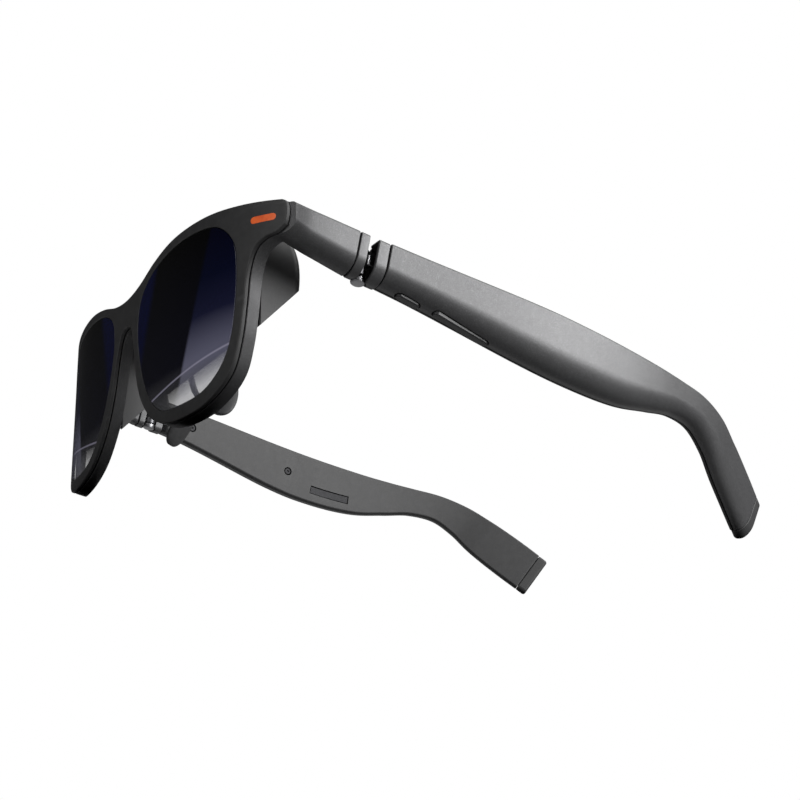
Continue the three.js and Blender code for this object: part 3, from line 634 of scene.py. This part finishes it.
def make_combiner(side):
    """Dished oval half mirror."""
    cx, cz = 35, -17

    def dish(x, z):
        return 0.002 * ((x - cx) ** 2 + (z - cz) ** 2)

    shape = plate([arc((cx, cz), (20, 12.5), 0, 357, 119)], 2, 3, 0.2, dish=dish)
    finish(f"{side}_combiner_mirror", shape, HALF_MIRROR, "front", [f"{side}_combiner"], side)


# ------------------------------------------------------------------------------------------------
# Optics housings

OPTIC_CORNER = (58.9, 2)  # where the rear line starts to turn forwards, and its radius


def optic_rear(x):
    start, radius = OPTIC_CORNER
    past = min(max(0, x - start), radius)
    return OPTIC_REAR - radius + sqrt(radius * radius - past * past)


def slant_z(y):
    return -13.5 - (OPTIC_REAR - y) * OPTIC_SLOPE


def slant_foot(x, behind):
    """Where the slanted underside meets a surface this far behind the face."""
    y = 0
    for _ in range(30):
        y = face_y(x, slant_z(y)) + behind
    return y, slant_z(y)


def housing_ring(x):
    """Section of the housing's outside: roof, rounded back and slanted underside."""
    rear = optic_rear(x)
    top = OPTIC_TOP
    front = face_y(x, top) + BAND_DEPTH + GAP
    low = slant_z(rear)
    back = bezier((rear - 6.5, top), (rear - 1.0, top - 1.4), (rear, low), 14)
    foot_y, foot_z = slant_foot(x, BAND_DEPTH + GAP)
    roof = [(front, top), ((front + rear - 6.5) / 2, top), (rear - 6.5, top)]
    return [(x, y, z) for y, z in [*roof, *back, (rear, low), (foot_y, foot_z)]]


def hollow_ring(x):
    """The cavity runs out through the front and the slanted underside."""
    rear = optic_rear(x) - WALL
    top = OPTIC_TOP - WALL
    front = face_y(x, top) + BAND_DEPTH - 1
    back = bezier((rear - 5.9, top), (rear - 1.0, top - 1.2), (rear, slant_z(rear) + 0.5), 8)
    points = [(front, top), (rear - 5.9, top), *back, (rear, slant_z(rear) + 0.5), (rear, slant_z(rear) - 3)]
    return [(x, y, z) for y, z in points] + [(x, face_y(x, -40) + BAND_DEPTH - 1, -40)]


def make_housing(side):
    start, radius = OPTIC_CORNER
    flat = [11.8, 12.5, *range(15, 55, 5), 54, 57, 58.4, start]
    bend = [start + radius * sin(radians(a)) for a in range(9, 90, 9)] + [start + radius]
    shell = skin([housing_ring(x) for x in flat + bend])
    hollow = skin([hollow_ring(x) for x in [13, 20, 30, 40, 50, 55, 58, 59, 59.6]])
    room = STEM_R + GAP
    slot_end = SLIDER["x"] + SLIDER["travel"] + room
    slot = block(SLIDER["x"] - room, slot_end, -room, room, OPTIC_TOP - 4, OPTIC_TOP + 2)
    shape = cut(shell, hollow, slot)
    name = f"{side}_optics_housing"
    finish(f"{side}_housing_shell", shape, INNER, "front", [name], side, crease=33)


def make_splitter(side):
    """Half-silvered plate that closes the slanted opening."""
    rings = []
    for x in (13.3, 20, 30, 40, 50, 55, 58, 59, 59.3):
        rear = optic_rear(x) - WALL - 0.6
        foot_y, _ = slant_foot(x, BAND_DEPTH + 0.7)
        corners = [(rear, 0.35), (rear - 0.15, 0.7), (rear - 0.8, 1.65), (rear - 1.0, 1.8)]
        corners += [(foot_y - 0.2, 1.8), (foot_y - 0.05, 1.6), (foot_y, 0.5), (foot_y + 0.1, 0.35)]
        rings.append([(x, y, slant_z(y) + lift) for y, lift in corners])
    name = f"{side}_beam_splitter"
    finish(f"{side}_splitter_plate", skin(rings), SPLITTER, "front", [name], side)


def make_display_lens(side):
    dome = [(6.2 * cos(radians(a)), -0.8 - 2.1 * sin(radians(a))) for a in range(0, 90, 6)]
    profile = [(0, 0), (5.9, 0), (6.2, -0.25), *dome, (0, -2.9)]
    shape = moved(turned(profile, 64), Matrix.Translation((35, 0, -6.6)) @ Matrix.Diagonal((1.7, 0.75, 1, 1)))
    name = f"{side}_display_lens"
    finish(f"{side}_display_optic", shape, OPTIC, "front", [name], side)


def make_display(side):
    shape = block(25, 45, -4, 4, -5, -3.6, 0.25)
    name = f"{side}_display"
    finish(f"{name}_panel", shape, PANEL, name, [name], side)


def pill_loop(half, radius, steps=16):
    ends = ((half, -90), (-half, 90))
    return [point for x, start in ends for point in arc((x, 0), (radius, radius), start, 180, steps)]


def pill(length, width, z0, z1, rounding):
    """A round-ended bar along X with a rounded lower rim."""
    rings = []
    for step in range(5):
        a = radians(90 * step / 4)
        inset = rounding * (1 - sin(a))
        loop = pill_loop((length - width) / 2, width / 2 - inset)
        rings.append([(x, y, z0 + rounding * (1 - cos(a))) for x, y in loop])
    for step in range(5):
        a = radians(90 * step / 4)
        loop = pill_loop((length - width) / 2, width / 2 - rounding * (1 - cos(a)))
        rings.append([(x, y, z1 - rounding * (1 - sin(a))) for x, y in loop])
    return skin(rings)


def make_slider(side):
    """Thumb piece with a ribbed top on a stem through the roof slot."""
    top = GAP + SLIDER["height"]
    body = pill(SLIDER["length"], SLIDER["width"], GAP, top, 0.35)
    stem = rod(0, 0, -1.3, GAP + 0.3, STEM_R)
    pitch, half = 1.1, 0.28
    places = [pitch * i for i in (-2, -1, 0, 1, 2)]
    ribs = [block(x - half, x + half, -pitch, pitch, 1.2, top + half, 0.12) for x in places]
    shape = moved(join(body, stem, *ribs), Matrix.Translation((SLIDER["x"], 0, OPTIC_TOP)))
    name = f"{side}_focus_slider"
    finish(f"{side}_slider_knob", shape, TRIM, f"{side}_slider", [name], side, crease=35)


# ------------------------------------------------------------------------------------------------
# Bridge and nose

def make_bridge_cover():
    outer = [(-10.6, -2), (10.6, -2), (10.6, -9), (5.2, -12.4), (-5.2, -12.4), (-10.6, -9)]
    inner = [(x * 0.88, -6.6 + (z + 6.6) * 0.76) for x, z in outer]

    def prism(pairs, behind, rear, rounding):
        rings = [[(x, face_y(x, z) + behind, z) for x, z in pairs], [(x, rear, z) for x, z in pairs]]
        bm = skin(rings)
        if rounding:
            edges = [e for e in bm.edges if max(v.co.y for v in e.verts) > rear - 0.01]
            bmesh.ops.bevel(bm, geom=edges, offset=rounding, segments=4, profile=0.5, affect="EDGES")
        return bm

    shape = cut(prism(outer, BAND_DEPTH + GAP, 1.6, 0.8), prism(inner, BAND_DEPTH - 1, 0.4, 0))
    finish("bridge_back", shape, INNER, "front", ["bridge_cover"])


def tube(path, radius, sides=20):
    """A round wire along a path, domed at both ends."""
    points = [Vector(p) for p in path]
    rings = []
    last = len(points) - 1
    for i, point in enumerate(points):
        run = (points[min(i + 1, last)] - points[max(i - 1, 0)]).normalized()
        out = run.cross(Vector((0, 1, 0))).normalized()
        up = out.cross(run)
        angles = [2 * pi * k / sides for k in range(sides)]
        domes = [(0, 1)]
        if i == 0:
            domes = [(-0.9, 0.35), (-0.6, 0.78), (-0.25, 0.96), (0, 1)]
        if i == last:
            domes = [(0, 1), (0.25, 0.96), (0.6, 0.78), (0.9, 0.35)]
        for along, scale in domes:
            centre = point + run * radius * along
            rings.append([centre + (out * cos(a) + up * sin(a)) * radius * scale for a in angles])
    return skin(rings)


def make_nose_bracket():
    plate_block = block(-6.5, 6.5, 1.9, 3.7, -11.5, -4, 0.5, 4)
    wires = []
    for side in (1, -1):
        route = [(4.5, 2.7, -8), (7.2, 2.7, -12.6), (9, 6, -18.4), (9.8, 9.7, -26), (14.2, 11.9, -29.8)]
        wires.append(tube(spline([(side * x, y, z) for x, y, z in route], 8), 0.8))
    shape = join(plate_block, *wires)
    finish("nose_carrier", shape, INNER, "front", ["nose_bracket"], crease=50)


def make_nose_pad(side):
    """Soft pad: broader below, crowned on the nose side and dished behind."""
    thickness, half_width, half_height = 1.3, 3.6, 7.4
    rings = []
    rows, columns = 20, 36
    for i in range(1, rows):
        a = pi * i / rows
        v = cos(a)
        width = half_width * sin(a) ** 0.8 * (1 - 0.16 * v)
        ring = []
        for k in range(columns):
            b = 2 * pi * k / columns
            depth = thickness * sin(a) ** 0.6 * cos(b)
            if cos(b) > 0:
                depth *= 0.75
            ring.append((depth, width * sin(b), half_height * v))
        rings.append(ring)
    turn = Matrix.Rotation(radians(-28), 4, "Z") @ Matrix.Rotation(radians(-24), 4, "Y")
    shape = moved(skin(rings), Matrix.Translation(PAD_AT) @ turn)
    name = f"{side}_nose_pad"
    pad = finish(f"{side}_silicone_pad", shape, SILICONE, "front", [name], side, 80)
    smooth = pad.modifiers.new("smooth", "SUBSURF")
    smooth.levels = smooth.render_levels = 1


# ------------------------------------------------------------------------------------------------
# Hinges

def leaned(bm):
    return moved(bm, Matrix.Translation(HINGE) @ Matrix.Rotation(HINGE_LEAN, 4, "Y"))


def make_collar(side, place, y0, y1, low, body):
    """A ring with rounded rims, hollowed round the hinge knuckles."""
    rims = [(y0, EDGE), (y0 + 0.06, 0.09), (y0 + EDGE, 0), (y1 - EDGE, 0), (y1 - 0.06, 0.09), (y1, EDGE)]

    def ring(y, inset):
        return [(ARM_OUT + u, y, low / 2 + v) for u, v in arm_section(-low, ARM_THICK, inset)]

    outside = [ring(y, inset) for y, inset in rims]
    inside = [ring(y, 0.9) for y in (y1, y0)]
    shape = skin(outside + inside, caps=False, loop=True)
    shape = cut(shape, leaned(rod(0, 0, -9, 9, 2.1, sides=48)))
    name = f"{side}_{place}"
    finish(f"{name}_ring", shape, GRAPHITE, body, [f"{name}_collar"], side)


LEAF_Z = (-1.2, 1.5)  # from the pin centre, as are the knuckles
KNUCKLES_Z = ((-3.5, -1.5), (1.8, 4.1))


def make_hinge(side):
    temple = f"{side}_temple"
    bore = (0, 0, -9, 9, PIN_R + 0.1)
    knuckles = []
    for z0, z1 in KNUCKLES_Z:
        knuckles += [rod(0, 0, z0, z1, KNUCKLE_R, 0.2), block(0.6, 2.4, -2.6, 0, z0, z1, 0.15)]
    tongue = block(0.6, 3.3, -8.4, -2.1, -2.8, 3.4, 0.2)
    bracket = leaned(cut(join(tongue, *knuckles), rod(*bore)))
    name = f"{side}_hinge_bracket"
    finish(f"{side}_bracket_knuckles", bracket, DARK_STEEL, "front", [name], side, crease=30)
    arm = block(1.6, 3.5, 0, 10, *LEAF_Z, 0.2)
    web = block(0, 3.5, 0.2, 2.1, *LEAF_Z, 0.15)
    leaf = leaned(cut(join(rod(0, 0, *LEAF_Z, KNUCKLE_R, 0.15), web, arm), rod(*bore)))
    name = f"{side}_hinge_leaf"
    finish(f"{side}_leaf_knuckle", leaf, STEEL, temple, [name], side, crease=30)
    head = [(0, -5.2), (1.15, -5.2), (1.5, -5.13), (1.72, -4.95), (1.8, -4.65), (1.8, -3.8), (PIN_R, -3.8)]
    shank = [(PIN_R, 4.1), (PIN_R - 0.2, 4.3), (0, 4.3)]
    pin = leaned(turned(head + shank))
    finish(f"{side}_pin_rivet", pin, STEEL, "front", [f"{side}_hinge_pin"], side, crease=30)


# ------------------------------------------------------------------------------------------------
# Temples

# Outer face y and x, middle z, height and thickness
TEMPLE = [
    (6, 73.4, -4.7, 9.4, 6.6), (34, 74, -5.3, 10.8, 6.6), (68, 76.2, -7.7, 14.9, 6.8),
    (85, 76.2, -8.3, 15.6, 6.8), (100, 75, -7.9, 14.6, 6.6), (112, 73.2, -6.4, 11.8, 6.2),
    (122, 71, -5.1, 9.4, 5.8), (132, 68.4, -5.2, 9.4, 5.6), (141, 65.3, -8.1, 11.6, 5.4),
    (149, 61.7, -12.7, 13.8, 5.2), (158, 57.6, -17.8, 14.6, 5), (166, 54, -22.4, 14.4, 5),
]
CAP_AT = len(TEMPLE) - 1.28  # station where the tip piece begins
TIP_AT = CAP_AT + 0.04
TIP_LENGTH = 3.2
TIP_SEAM = -0.22
TIP_PLUG = 1.5  # how far the part inside the shell is drawn in
COVER_T = 1.3
BUTTONS = {"function_button": (36.2, 6.6), "rocker_button": (51.4, 16.3)}
BUTTON_WIDTH = 2.2
SCREWS = (37, 74)
GRILLE = (84, 98)


def station(s):
    """y, x, z, height and thickness at a fractional station."""
    last = len(TEMPLE) - 1
    i = min(max(int(s), 0), last - 1)
    near = [TEMPLE[min(max(i + k, 0), last)] for k in (-1, 0, 1, 2)]
    return [hermite(*values, s - i) for values in zip(*near)]


def station_at(y):
    low, high = 0, len(TEMPLE) - 1
    for _ in range(40):
        middle = (low + high) / 2
        low, high = (middle, high) if station(middle)[0] < y else (low, middle)
    return low


def origin_at(s):
    y, x, z, _, _ = station(s)
    return Vector((x, y, z))


def section_frame(s):
    """Origin and the outward, upward and lengthwise directions at a station."""
    run = (origin_at(s + 0.02) - origin_at(s - 0.02)).normalized() if s >= 1 else Vector((0, 1, 0))
    out = run.cross(Vector((0, 0, 1))).normalized()
    return origin_at(s), out, out.cross(run), run


def placed(s, section, reach=0.0):
    """A section's points at a station, moved lengthwise by reach."""
    origin, out, up, run = section_frame(s)
    return [origin + out * u + up * v + run * reach for u, v in section]


def shell_section(s, inset=0.0):
    """Channel open towards the head, with softened seam edges."""
    _, _, _, h, t = station(s)
    edge, soft = COVER_T - t, 0.12
    top, low = h / 2 - inset, inset - h / 2
    low_u, low_v = 0.62 * t, 0.42 * h
    seam_top = [(edge, top - soft), (edge + soft, top)]
    seam_low = [(edge + soft, low), (edge, low + soft)]
    inside = [
        (edge, WALL - h / 2), (-low_u, WALL - h / 2), (-0.3 * low_u - WALL, 0.3 * low_v - h / 2 + WALL / 2),
        (-WALL, low_v - h / 2), (-WALL, h / 2 - WALL), (edge, h / 2 - WALL),
    ]
    return seam_top + outer_sweep(h, t, inset) + seam_low + inside


def cover_section(s, inset=0.0):
    _, _, _, h, t = station(s)
    edge, soft = COVER_T - t - GAP, 0.12
    top, low = h / 2 - inset, inset - h / 2
    bottom = arc((0.7 - t, low + 0.7), (0.7 - inset, 0.7), -90, -90, 6)
    upper = arc((0.5 - t, top - 0.5), (0.5 - inset, 0.5), 180, -90, 5)
    return [(edge - soft, top), (edge, top - soft), (edge, low + soft), (edge - soft, low), *bottom, *upper]


def temple_rings(section, count=150):
    """Rings along the temple with rounded ends."""
    first, last = station_at(SHELL_START + GAP), CAP_AT
    stations = [first + (last - first) * i / count for i in range(count + 1)]
    rings = [placed(s, section(s)) for s in stations[1:-1]]
    rounded = ((0, EDGE), (0.06, 0.09), (EDGE, 0))
    start = [placed(first, section(first, inset), reach) for reach, inset in rounded]
    end = [placed(last, section(last, inset), -reach) for reach, inset in reversed(rounded)]
    return start + rings[1:] + end


def under_temple(bm, y):
    """Puts a shape made round the origin along X on the underside of the temple."""
    def foot(depth):
        s = station_at(depth)
        origin, _, up, _ = section_frame(s)
        return origin - up * station(s)[3] / 2

    slope = foot(y + 1) - foot(y - 1)
    place = foot(y) - Vector((3.9, 0, 0))
    turn = Matrix.Rotation(atan2(slope.z, slope.y), 4, "X") @ Matrix.Rotation(pi / 2, 4, "Z")
    return moved(bm, Matrix.Translation(place) @ turn)


def make_temple_shell(side):
    shape = skin(temple_rings(shell_section))
    if side == "left":
        holes = []
        for y, length in BUTTONS.values():
            holes.append(under_temple(pill(length + 2 * GAP, BUTTON_WIDTH + 2 * GAP, -2, 3.4, 0.01), y))
        shape = cut(shape, *holes)
    name = f"{side}_temple_shell"
    body = f"{side}_temple"
    finish(f"{side}_outer_shell", shape, GRAPHITE, body, [name], side, crease=35)


def make_buttons():
    for name, (y, length) in BUTTONS.items():
        shape = under_temple(pill(length, BUTTON_WIDTH, -0.45, 1.8, 0.35), y)
        finish(f"{name}_cap", shape, TRIM, name, [name])


def screw_matrix(y):
    s = station_at(y)
    origin, out, _, _ = section_frame(s)
    turn = Vector((0, 0, 1)).rotation_difference(out).to_matrix().to_4x4()
    return Matrix.Translation(origin) @ turn, station(s)[4]


def make_screws(side):
    """Hexagon-socket screws in the inner cover."""
    for i, y in enumerate(SCREWS):
        place, t = screw_matrix(y)
        profile = [(0, 0.1), (0.95, 0.1), (1.1, 0.2), (1.1, 0.7), (0.6, 0.75), (0.6, 2.8), (0, 2.8)]
        socket = rod(0, 0, -0.5, 0.42, 0.45, sides=6)
        shape = moved(cut(turned(profile, 40), socket), place @ Matrix.Translation((0, 0, -t)))
        name = f"{side}_screw_{i + 1}"
        finish(f"{name}_hex", shape, BLACKENED, f"{side}_temple", [name], side, crease=30)


def grille_block(u0, u1, margin):
    first, last = station_at(GRILLE[0] - margin), station_at(GRILLE[1] + margin)
    v0, v1 = -4.4 - margin, -2.2 + margin
    section = [(u0, v0), (u1, v0), (u1, v1), (u0, v1)]
    return skin([placed(first + (last - first) * i / 6, section) for i in range(7)])


def make_inner_cover(side):
    shape = skin(temple_rings(cover_section))
    holes = []
    for y in SCREWS:
        place, _ = screw_matrix(y)
        holes.append(moved(rod(0, 0, -9, -3, 1.4), place))
    shape = cut(shape, *holes, grille_block(-9, -3, GAP))
    name = f"{side}_temple_cover"
    finish(f"{side}_inner_cover", shape, INNER, f"{side}_temple", [name], side, crease=35)


def make_grille(side):
    t = station(station_at(91))[4]
    shape = grille_block(0.25 - t, 1 - t, 0)
    slots = []
    for i in range(6):
        y = GRILLE[0] + (i + 0.5) * (GRILLE[1] - GRILLE[0]) / 6
        origin = origin_at(station_at(y))
        across = Matrix.Rotation(pi / 2, 4, "Y")
        place = Matrix.Translation((origin.x - 12, y, origin.z - 3.3))
        slots.append(moved(pill(1.5, 0.8, -12, 0, 0.01), place @ across))
    shape = cut(shape, *slots)
    name, body = f"{side}_speaker_grille", f"{side}_temple"
    finish(f"{side}_grille_plate", shape, BLACKENED, body, [name], side, crease=30)


def make_tip(side):
    """End cap with a plug inside the shell and a softened end face."""
    _, _, _, h, t = station(TIP_AT)
    middle = -t / 2

    def ring(reach, scale, inset=0.0):
        section = [(middle + (u - middle) * scale, v * (1 + scale) / 2) for u, v in arm_section(h, t, inset)]
        return placed(TIP_AT, section, reach)

    rings = [ring(-1, 1, TIP_PLUG), ring(TIP_SEAM, 1, TIP_PLUG), ring(TIP_SEAM, 1, EDGE)]
    rings += [ring(TIP_SEAM + 0.06, 1, 0.09), ring(TIP_SEAM + EDGE, 1)]
    for step in range(9):
        a = radians(90 * step / 8)
        rings.append(ring(TIP_LENGTH - 1 + sin(a), 1 - 0.2 * (1 - cos(a))))
    shape = skin(rings)
    if side == "right":
        shape = cut(shape, on_tip(block(-1.1, 1.1, -1.2, 1, -3.9, 3.9, 0.4)))
    name = f"{side}_tip"
    finish(f"{name}_cap", shape, INNER, f"{side}_temple", [name], side, crease=38)


def on_tip(bm):
    """Places a shape on the tip's end face: X outwards, Y out of the face, Z up."""
    origin, out, up, run = section_frame(TIP_AT)
    middle = origin - out * station(TIP_AT)[4] / 2 + run * TIP_LENGTH
    basis = Matrix((out, run, up)).transposed().to_4x4()
    return moved(bm, Matrix.Translation(middle) @ basis)


def make_contacts():
    """Gold strip with five domed contacts."""
    strip = block(-0.8, 0.8, -0.9, -0.5, -3.6, 3.6, 0.12)
    facing = Matrix.Rotation(-pi / 2, 4, "X")
    for z in (-2.6, -1.3, 0, 1.3, 2.6):
        dome = [(0, -0.7), (0.42, -0.7), (0.42, -0.3), (0.36, -0.17), (0.2, -0.11), (0, -0.1)]
        strip = join(strip, moved(turned(dome, 28), Matrix.Translation((0, 0, z)) @ facing))
    shape = on_tip(strip)
    finish("tip_contacts", shape, GOLD, "right_temple", ["contact_strip"], "right", 35)


def dress_inner_nodes():
    """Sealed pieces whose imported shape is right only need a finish."""
    finishes = {"bridge_board": BOARD}
    for side in SIDES:
        finishes[f"{side}_circuit_board"] = BOARD
        finishes[f"{side}_speaker"] = CAN
    for name, material in finishes.items():
        node = frame["nodes"][name]
        node.data.materials.clear()
        node.data.materials.append(material)


# ------------------------------------------------------------------------------------------------
# Stage

def make_floor():
    """A pale floor that is seen only from above."""
    bm = bmesh.new()
    bmesh.ops.create_grid(bm, x_segments=1, y_segments=1, size=3)
    floor = bpy.data.objects.new("floor", to_mesh(bm))
    bpy.context.scene.collection.objects.link(floor)
    s = Shader("floor_pale")
    s.set(Roughness=0.8, Base_Color=(0.8, 0.8, 0.8, 1))
    under = s.add("ShaderNodeBsdfTransparent")
    mix = s.add("ShaderNodeMixShader")
    geometry = s.add("ShaderNodeNewGeometry")
    s.link(geometry.outputs["Backfacing"], mix.inputs["Fac"])
    s.link(s.bsdf.outputs["BSDF"], mix.inputs[1])
    s.link(under.outputs["BSDF"], mix.inputs[2])
    s.link(mix.outputs["Shader"], s.nodes["Material Output"].inputs["Surface"])
    floor.data.materials.append(s.material)
    return floor


WORLD_LIGHT = 0.025


def make_world():
    """White to the eye, and a dim even grey as a light."""
    world = bpy.data.worlds.new("studio")
    bpy.context.scene.world = world
    world.use_nodes = True
    nodes, links = world.node_tree.nodes, world.node_tree.links
    back = nodes["Background"]
    path = nodes.new("ShaderNodeLightPath")
    tone = nodes.new("ShaderNodeMix")
    tone.data_type = "RGBA"
    colors = [s for s in tone.inputs if s.type == "RGBA"]
    colors[0].default_value = (WORLD_LIGHT, WORLD_LIGHT, WORLD_LIGHT * 1.02, 1)
    colors[1].default_value = (1, 1, 1, 1)
    links.new(path.outputs["Is Camera Ray"], tone.inputs[0])
    links.new([s for s in tone.outputs if s.type == "RGBA"][0], back.inputs["Color"])


def softbox(name, toward, distance, size, power, flagged=None, state="EXCLUDE"):
    """A square area light that looks back at the glasses and can spare, or light only, one object."""
    data = bpy.data.lights.new(name, "AREA")
    data.size = size
    data.energy = power
    light = bpy.data.objects.new(name, data)
    bpy.context.scene.collection.objects.link(light)
    direction = Vector(toward).normalized()
    light.location = Vector((0, 0, 0.03)) + direction * distance
    light.rotation_euler = direction.to_track_quat("Z", "Y").to_euler()
    if flagged:
        marked = bpy.data.collections.new(f"{name}_flag")
        marked.objects.link(flagged)
        marked.collection_objects[0].light_linking.link_state = state
        light.light_linking.receiver_collection = marked


# Place in worn millimetres, directions, and focal length in millimetres
CAMERA_AT = (323.5, -94.43, -159.25)
CAMERA_RIGHT = (0.5158, 0.8432, 0.1517)
CAMERA_UP = (0.2689, -0.3275, 0.9058)
CAMERA_LENS = 60.43


def make_camera():
    data = bpy.data.cameras.new("camera")
    data.lens = CAMERA_LENS
    data.sensor_width = 36
    data.clip_start = 0.01
    camera = bpy.data.objects.new("camera", data)
    bpy.context.scene.collection.objects.link(camera)
    right = Vector(CAMERA_RIGHT).normalized()
    back = right.cross(Vector(CAMERA_UP)).normalized()
    axes = Matrix((right, back.cross(right), back)).transposed()
    camera.matrix_world = Matrix.Translation(TO_ROW @ Vector(CAMERA_AT)) @ (tilt @ axes).to_4x4()
    bpy.context.scene.camera = camera


def make_stage():
    floor = make_floor()
    make_world()
    # Name, direction, distance and size in metres, power in watts, and what it spares or lights alone
    softbox("side_box", (0.75, 0.47, 0.46), 0.6, 0.4, 9, floor)
    softbox("top_box", (-0.1, 0.1, 1), 0.8, 0.7, 3)
    softbox("front_box", (0.4, -1, 0.3), 0.7, 0.4, 2.2, floor)
    softbox("floor_wash", (0, 0.1, 1), 1.2, 2, 6, floor, "INCLUDE")
    bpy.context.scene.view_settings.view_transform = "Standard"


# ------------------------------------------------------------------------------------------------
# Assembly

make_camera()
make_stage()
make_front_cover()
make_main_frame()
make_bridge_cover()
make_nose_bracket()
for side in SIDES:
    make_lens(side)
    make_combiner(side)
    make_housing(side)
    make_splitter(side)
    make_display(side)
    make_display_lens(side)
    make_slider(side)
    make_nose_pad(side)
    make_collar(side, "arm", ARM_END + GAP, COLLAR_END, -10.4, "front")
    make_collar(side, "temple", TEMPLE_START, SHELL_START, -10.6, f"{side}_temple")
    make_hinge(side)
    make_temple_shell(side)
    make_inner_cover(side)
    make_screws(side)
    make_grille(side)
    make_tip(side)
make_buttons()
make_contacts()
dress_inner_nodes()
